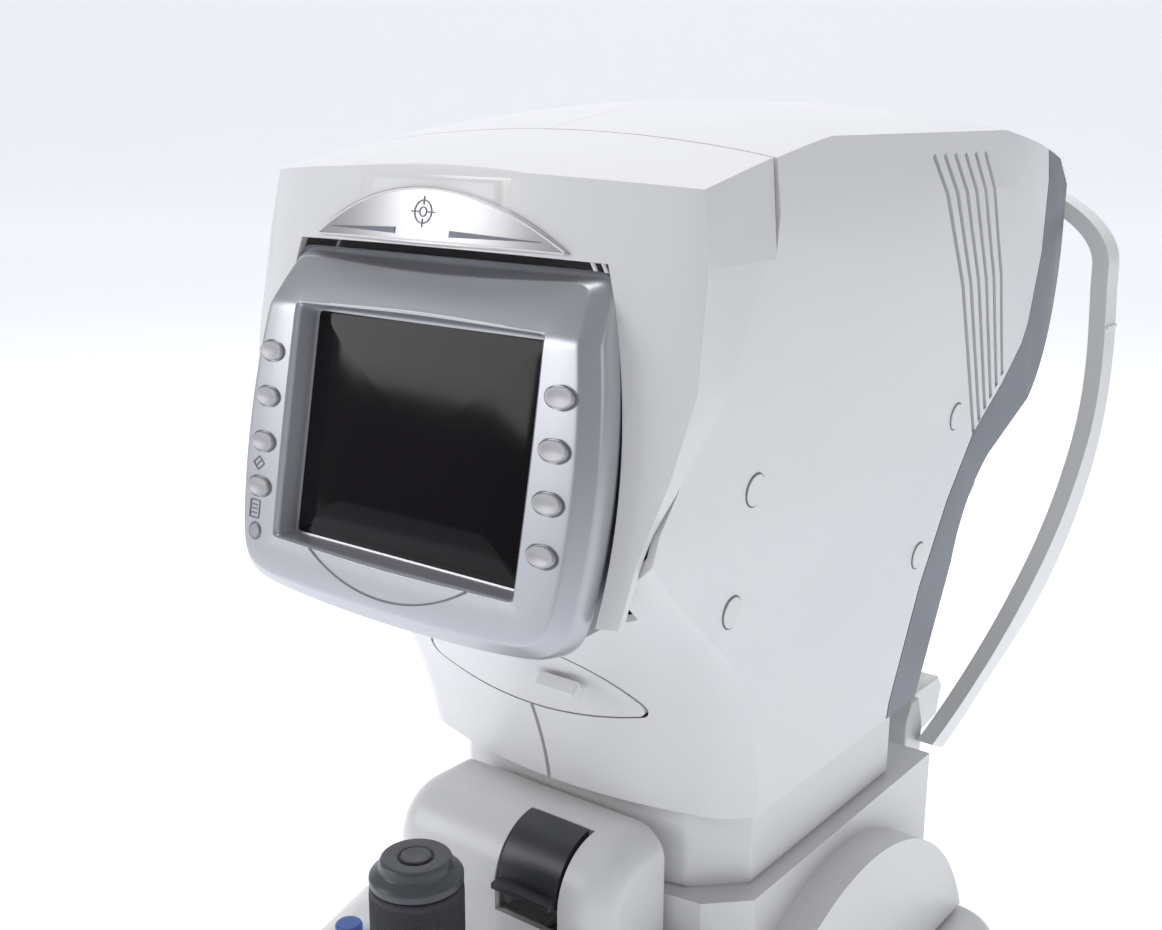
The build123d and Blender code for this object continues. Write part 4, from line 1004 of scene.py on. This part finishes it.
@dataclass
class Joystick:
    """The joystick: dome, neck, knurled sleeve, turned cap and start button."""

    axis: tuple[float, float] = (0.0, -196.0)
    sleeve_radius: float = 18.3
    sleeve_low: float = 124.4
    sleeve_high: float = 164.4
    knurl_depth: float = 0.35
    knurl_count: int = 72
    knurl_rise: float = 0.1
    band: float = 2.2
    band_fade: float = 0.6
    rim: float = 1.2
    cap_top: float = 176.0

    def sleeve(self, columns: int = 576, rows: int = 180) -> bpy.types.Object:
        """The turning sleeve: two crossed helices of ribs make its knurl, with smooth rounded ends."""
        angle = around(columns)[None, :]
        height = np.linspace(self.sleeve_low, self.sleeve_high, rows)[:, None]
        turn = (height - self.sleeve_low) / self.sleeve_radius
        one = np.abs(np.sin((angle + turn) * self.knurl_count / 2))
        two = np.abs(np.sin((angle - turn) * self.knurl_count / 2))
        diamonds = np.minimum(one, two)
        low = np.clip((height - self.sleeve_low - self.band) / self.band_fade, 0.0, 1.0)
        high = np.clip((self.sleeve_high - self.band - height) / self.band_fade, 0.0, 1.0)
        band = low * high
        rim = 0.0
        for depth in (height - self.sleeve_low, self.sleeve_high - height):
            inward = np.clip(self.rim - depth, 0.0, self.rim)
            rim = rim + self.rim - np.sqrt(np.maximum(self.rim**2 - inward**2, 0.0))
        radius = self.sleeve_radius - self.knurl_depth * band * (1.0 - diamonds / 0.7) - rim
        radius = radius + self.knurl_rise * band
        x = self.axis[0] + radius * np.cos(angle)
        y = self.axis[1] + radius * np.sin(angle)
        grid = np.stack([x, y, np.broadcast_to(height, x.shape)], axis=-1)
        return put_grid("knurled_sleeve", grid, sharp=60.0)

    def cap(self) -> bpy.types.Object:
        """The cap above the sleeve: a chamfered ring with a groove and a flat top that holds the button."""
        top = self.cap_top
        corners = np.array(
            [
                (4.0, top - 14.0),
                (16.6, top - 11.0),
                (18.4, top - 10.6),
                (18.4, top - 7.6),
                (17.2, top - 6.4),
                (14.6, top - 4.4),
                (13.9, top - 1.0),
                (12.9, top - 0.3),
                (7.4, top - 0.5),
                (6.5, top - 1.6),
                (2.0, top - 1.6),
            ]
        )
        radii = np.array([0.0, 0.5, 0.6, 0.6, 0.5, 0.7, 0.6, 0.5, 0.4, 0.3, 0.0])
        grid = revolved(rounded_profile(corners, radii), self.axis, 128)
        return put_grid("joystick_cap", grid, sharp=50.0)

    def neck(self) -> bpy.types.Object:
        """The neck and socket collar below the sleeve."""
        shaft = [(5.0, 84.0), (9.0, 86.0), (9.0, 118.0)]
        socket = [(12.0, 121.0), (15.5, 123.4), (15.5, 126.0), (5.0, 126.0)]
        corners = np.array(shaft + socket)
        radii = np.array([0.0, 1.0, 2.0, 1.5, 0.8, 0.5, 0.0])
        grid = revolved(rounded_profile(corners, radii), self.axis, 96)
        return put_grid("joystick_neck", grid, sharp=50.0)

    def dome(self) -> bpy.types.Object:
        """The dust dome over the socket, part of a ball with two shallow steps turned in it."""
        swing = np.linspace(math.radians(18), math.radians(72), 40)
        ball = 24.4 + 0.35 * np.cos(swing * 26)
        profile = np.stack([ball * np.sin(swing), 84.0 + ball * np.cos(swing)], axis=-1)
        inner = np.stack([(ball - 1.6) * np.sin(swing), 84.0 + (ball - 1.6) * np.cos(swing)], axis=-1)[::-1]
        loop = np.concatenate([profile, inner, profile[:1]])
        grid = revolved(loop, self.axis, 96)
        return put_grid("joystick_dust_dome", grid, True, Edge.OPEN, Edge.OPEN, 50.0)

    def button(self) -> bpy.types.Object:
        """The start button in the cap, with a rounded rim and a faint dish."""
        top = self.cap_top
        wall = [(1.5, top - 5.5), (5.95, top - 5.5), (5.95, top)]
        corners = np.array(wall + [(3.0, top - 0.25), (0.6, top - 0.35)])
        radii = np.array([0.0, 0.3, 0.8, 0.8, 0.0])
        grid = revolved(rounded_profile(corners, radii), self.axis, 96)
        return put_grid("start_button_cap", grid, sharp=50.0)

    def build(self, paint: Paint) -> None:
        """Builds and dresses the joystick's pieces.

        Args:
            paint: the finishes.
        """
        paint.piece(self.sleeve(), "knob_rubber", "knob", "knob_sleeve")
        paint.piece(self.cap(), "knob_grey", "joystick")
        paint.piece(self.neck(), "black_plastic", "joystick", "joystick_shaft")
        paint.piece(self.dome(), "black_plastic", "joystick", "joystick_dome")
        paint.piece(self.button(), "knob_grey", "start_button", "start_button")
        paint.node("gimbal_ring", "steel")


@dataclass
class StageTop:
    """The sliding stage: cover with deck, hump and ledge, fenders, collar, lever and what drives it."""

    def build(self, paint: Paint) -> None:
        """Builds and dresses the stage's pieces.

        Args:
            paint: the finishes.
        """
        paint.rounded("stage", "stage_cover", "stage_deck", "white_shell", 1.5)
        for side in ("left", "right"):
            paint.rounded("stage", f"{side}_fender", f"{side}_wheel_fender", "white_shell", 3.0, 4)
        paint.rounded("stage", "collar", "head_collar", "white_shell", 2.5, 4)
        paint.rounded("lock_lever", "lock_lever", "stage_lock_lever", "black_plastic", 1.0)
        paint.rounded("deck_button", "deck_button", "deck_push_button", "blue_cap", 0.6)
        for node, slot in (
            ("guide_rods", "steel"),
            ("stage_chassis", "casting"),
            ("lift_posts", "steel"),
            ("lift_motor", "optic_black"),
            ("lead_screw", "steel"),
            ("carriage_block", "casting"),
            ("pinion_axle", "machined"),
        ):
            paint.node(node, slot)


# ---------------------------------------------------------------- base and headrest


@dataclass
class Base:
    """The base with its feet, racks and connector panel, and the headrest with chin rest and forehead pad."""

    pad_middle: tuple[float, float] = (240.0, 417.0)
    pad_half: tuple[float, float, float] = (57.0, 7.2, 11.6)
    cup_middle: tuple[float, float, float] = (0.0, 222.0, 231.0)
    cup_half: tuple[float, float] = (45.8, 23.8)

    def forehead_pad(self, columns: int = 64, rows: int = 90) -> bpy.types.Object:
        """The forehead pad: a crowned roll whose section is a rounded box that shrinks to its two ends."""
        along = np.linspace(-1.0, 1.0, rows)[:, None]
        angle = around(columns)[None, :]
        taper = np.maximum(1.0 - along**8, 0.0) ** 0.35
        cos, sin = np.cos(angle), np.sin(angle)
        y = self.pad_half[1] * np.sign(cos) * np.abs(cos) ** 0.75 * taper
        z = self.pad_half[2] * np.sign(sin) * np.abs(sin) ** 0.8 * taper * (1.0 - 0.08 * along**2)
        x = self.pad_half[0] * along + 0 * angle
        grid = np.stack([x, self.pad_middle[0] + y, self.pad_middle[1] + z], axis=-1)
        return put_grid("forehead_cushion", grid, sharp=80.0)

    def chin_cup(self, columns: int = 128) -> bpy.types.Object:
        """The chin cup: an oval tray with a rolled rim, dished in the middle where the chin lies."""
        angle = around(columns)
        stations = rounded_profile(
            np.array(
                [(0.1, 0.3), (0.86, 0.3), (0.97, 6.0), (1.0, 9.6)]
                + [(0.985, 16.2), (0.9, 16.6), (0.62, 11.6), (0.1, 10.4)]
            ),
            np.array([0.0, 0.05, 0.5, 0.5, 0.6, 0.4, 0.5, 0.0]),
            5,
        )
        middle = np.array(self.cup_middle)
        rows = [
            np.stack(
                [
                    middle[0] + self.cup_half[0] * share * np.cos(angle),
                    middle[1] + self.cup_half[1] * share * np.sin(angle),
                    np.full(columns, middle[2] + height),
                ],
                axis=-1,
            )
            for share, height in stations
        ]
        return put_grid("chin_rest_cup", np.array(rows), sharp=60.0)

    def build(self, paint: Paint) -> None:
        """Builds and dresses the fixed pieces and the chin rest.

        Args:
            paint: the finishes.
        """
        paint.rounded("base", "base_cover", "base_shell", "white_shell", 4.0, 5)
        paint.rounded("base", "headrest_frame", "headrest_arch", "white_frame", 1.8)
        paint.rounded("base", "chinrest_housing", "chin_rest_housing", "white_frame", 3.0, 4)
        pad = paint.piece(self.forehead_pad(), "pad_vinyl", "base", "forehead_pad")
        paint.piece(self.chin_cup(), "white_frame", "chinrest", "chin_cup")
        paint.rounded("power_switch", "power_switch", "mains_rocker", "inlet_black", 0.4, 2)
        for node, slot in (
            ("base_plate", "casting"),
            ("rubber_feet", "foot_rubber"),
            ("gear_racks", "machined"),
            ("connector_panel", "inlet_black"),
            ("power_inlet", "inlet_black"),
            ("chinrest_post", "machined"),
        ):
            paint.node(node, slot)


# ---------------------------------------------------------------- studio


@dataclass
class Studio:
    """The floor with its raised backdrop, the soft lights and the camera."""

    eye: tuple[float, float, float] = (0.34543, -0.54244, 0.45664)
    yaw: float = math.radians(37.547)
    pitch: float = math.radians(14.514)
    roll: float = math.radians(0.28)
    lens: float = 43.52
    reach: float = 9.0

    def floor(self) -> bpy.types.Object:
        """A floor that runs back and curves up into a backdrop: flat, then a quarter turn, then upright."""
        bend = 2.5
        run = np.linspace(-1.0, 1.0, 5) * self.reach
        flat = np.stack([np.linspace(-self.reach, self.reach * 0.5, 12), np.zeros(12)], axis=-1)
        swing = np.linspace(0.0, math.pi / 2, 24)[1:]
        curve = np.stack([self.reach * 0.5 + bend * np.sin(swing), bend * (1 - np.cos(swing))], axis=-1)
        wall = np.array([[self.reach * 0.5 + bend, self.reach]])
        profile = np.concatenate([flat, curve, wall])
        turn = self.yaw
        forward = np.array([-math.sin(turn), math.cos(turn), 0.0])
        side = np.array([math.cos(turn), math.sin(turn), 0.0])
        grid = (
            profile[:, 0][:, None, None] * forward
            + run[None, :, None] * side
            + profile[:, 1][:, None, None] * np.array([0.0, 0.0, 1.0])
        )
        floor = put_grid("studio_floor", grid / MM, False)
        material = bpy.data.materials.new("studio_paper")
        material.use_nodes = True
        tree = material.node_tree
        shader = tree.nodes["Principled BSDF"]
        tones = {"Tone": (0.90, 0.925, 0.97, 1.0), "Other Tone": (0.89, 0.915, 0.96, 1.0)}
        _, drift = toned(tree, {**tones, "Patch Scale": 0.6, "Low": 0.8, "High": 0.9})
        wire(tree, (drift, "Color", shader, "Base Color"))
        shader.inputs["Emission Color"].default_value = (0.955, 0.97, 1.0, 1.0)
        shader.inputs["Emission Strength"].default_value = 0.5
        shader.inputs["Specular IOR Level"].default_value = 0.1
        floor.data.materials.append(material)
        return floor

    def lamp(self, name: str, place: Place, aim: Place, size: float, watts: float, colour: Colour) -> None:
        """A square soft light aimed at a point.

        Args:
            name: the light's name.
            place: where it hangs.
            aim: what it points at.
            size: length of its side in metres.
            watts: its power.
            colour: its colour.
        """
        data = bpy.data.lights.new(name, "AREA")
        data.size = size
        data.energy = watts
        data.color = colour
        lamp = bpy.data.objects.new(name, data)
        turn = (Vector(aim) - Vector(place)).to_track_quat("-Z", "Y").to_matrix().to_4x4()
        lamp.matrix_world = Matrix.Translation(Vector(place)) @ turn
        bpy.context.scene.collection.objects.link(lamp)

    def camera(self) -> None:
        """The camera: it looks back along its yaw and pitch, with a small roll."""
        data = bpy.data.cameras.new("studio_camera")
        data.lens = self.lens
        data.sensor_width = 36.0
        data.clip_start = 0.01
        data.clip_end = 60.0
        back = Vector(
            (
                math.sin(self.yaw) * math.cos(self.pitch),
                -math.cos(self.yaw) * math.cos(self.pitch),
                math.sin(self.pitch),
            )
        )
        right = (-back).cross(Vector((0.0, 0.0, 1.0))).normalized()
        up = right.cross(-back)
        cos, sin = math.cos(self.roll), math.sin(self.roll)
        across, above = right * cos + up * sin, up * cos - right * sin
        camera = bpy.data.objects.new("studio_camera", data)
        turn = Matrix((across, above, back)).transposed().to_4x4()
        camera.matrix_world = Matrix.Translation(Vector(self.eye)) @ turn
        bpy.context.scene.collection.objects.link(camera)
        bpy.context.scene.camera = camera

    def build(self) -> None:
        """Lays the floor, hangs the lights and sets the camera."""
        self.floor()
        self.camera()
        world = bpy.data.worlds.new("studio")
        world.use_nodes = True
        world.node_tree.nodes["Background"].inputs["Color"].default_value = (0.93, 0.95, 1.0, 1.0)
        world.node_tree.nodes["Background"].inputs["Strength"].default_value = 0.26
        bpy.context.scene.world = world
        middle = (0.0, -0.02, 0.3)
        self.lamp("overhead", (-0.3, 0.3, 1.9), middle, 1.3, 22.0, (1.0, 1.0, 1.0))
        self.lamp("left_soft", (-1.3, -1.7, 1.0), middle, 1.0, 15.0, (0.98, 0.985, 1.0))
        self.lamp("right_fill", (1.9, -0.3, 1.1), middle, 1.2, 5.0, (0.97, 0.98, 1.0))
        bpy.context.scene.view_settings.view_transform = "Standard"


def main() -> None:
    """Builds the object's sub-assemblies in order, then the studio."""
    logging.basicConfig(level=logging.INFO, format="%(name)s: %(message)s")
    paint = Paint()
    for part in (Base(), StageTop(), Joystick(), Head(), Monitor()):
        log.info("building %s", type(part).__name__)
        part.build(paint)
    Studio().build()
    log.info("sizes written")


if __name__ == "__main__":
    main()
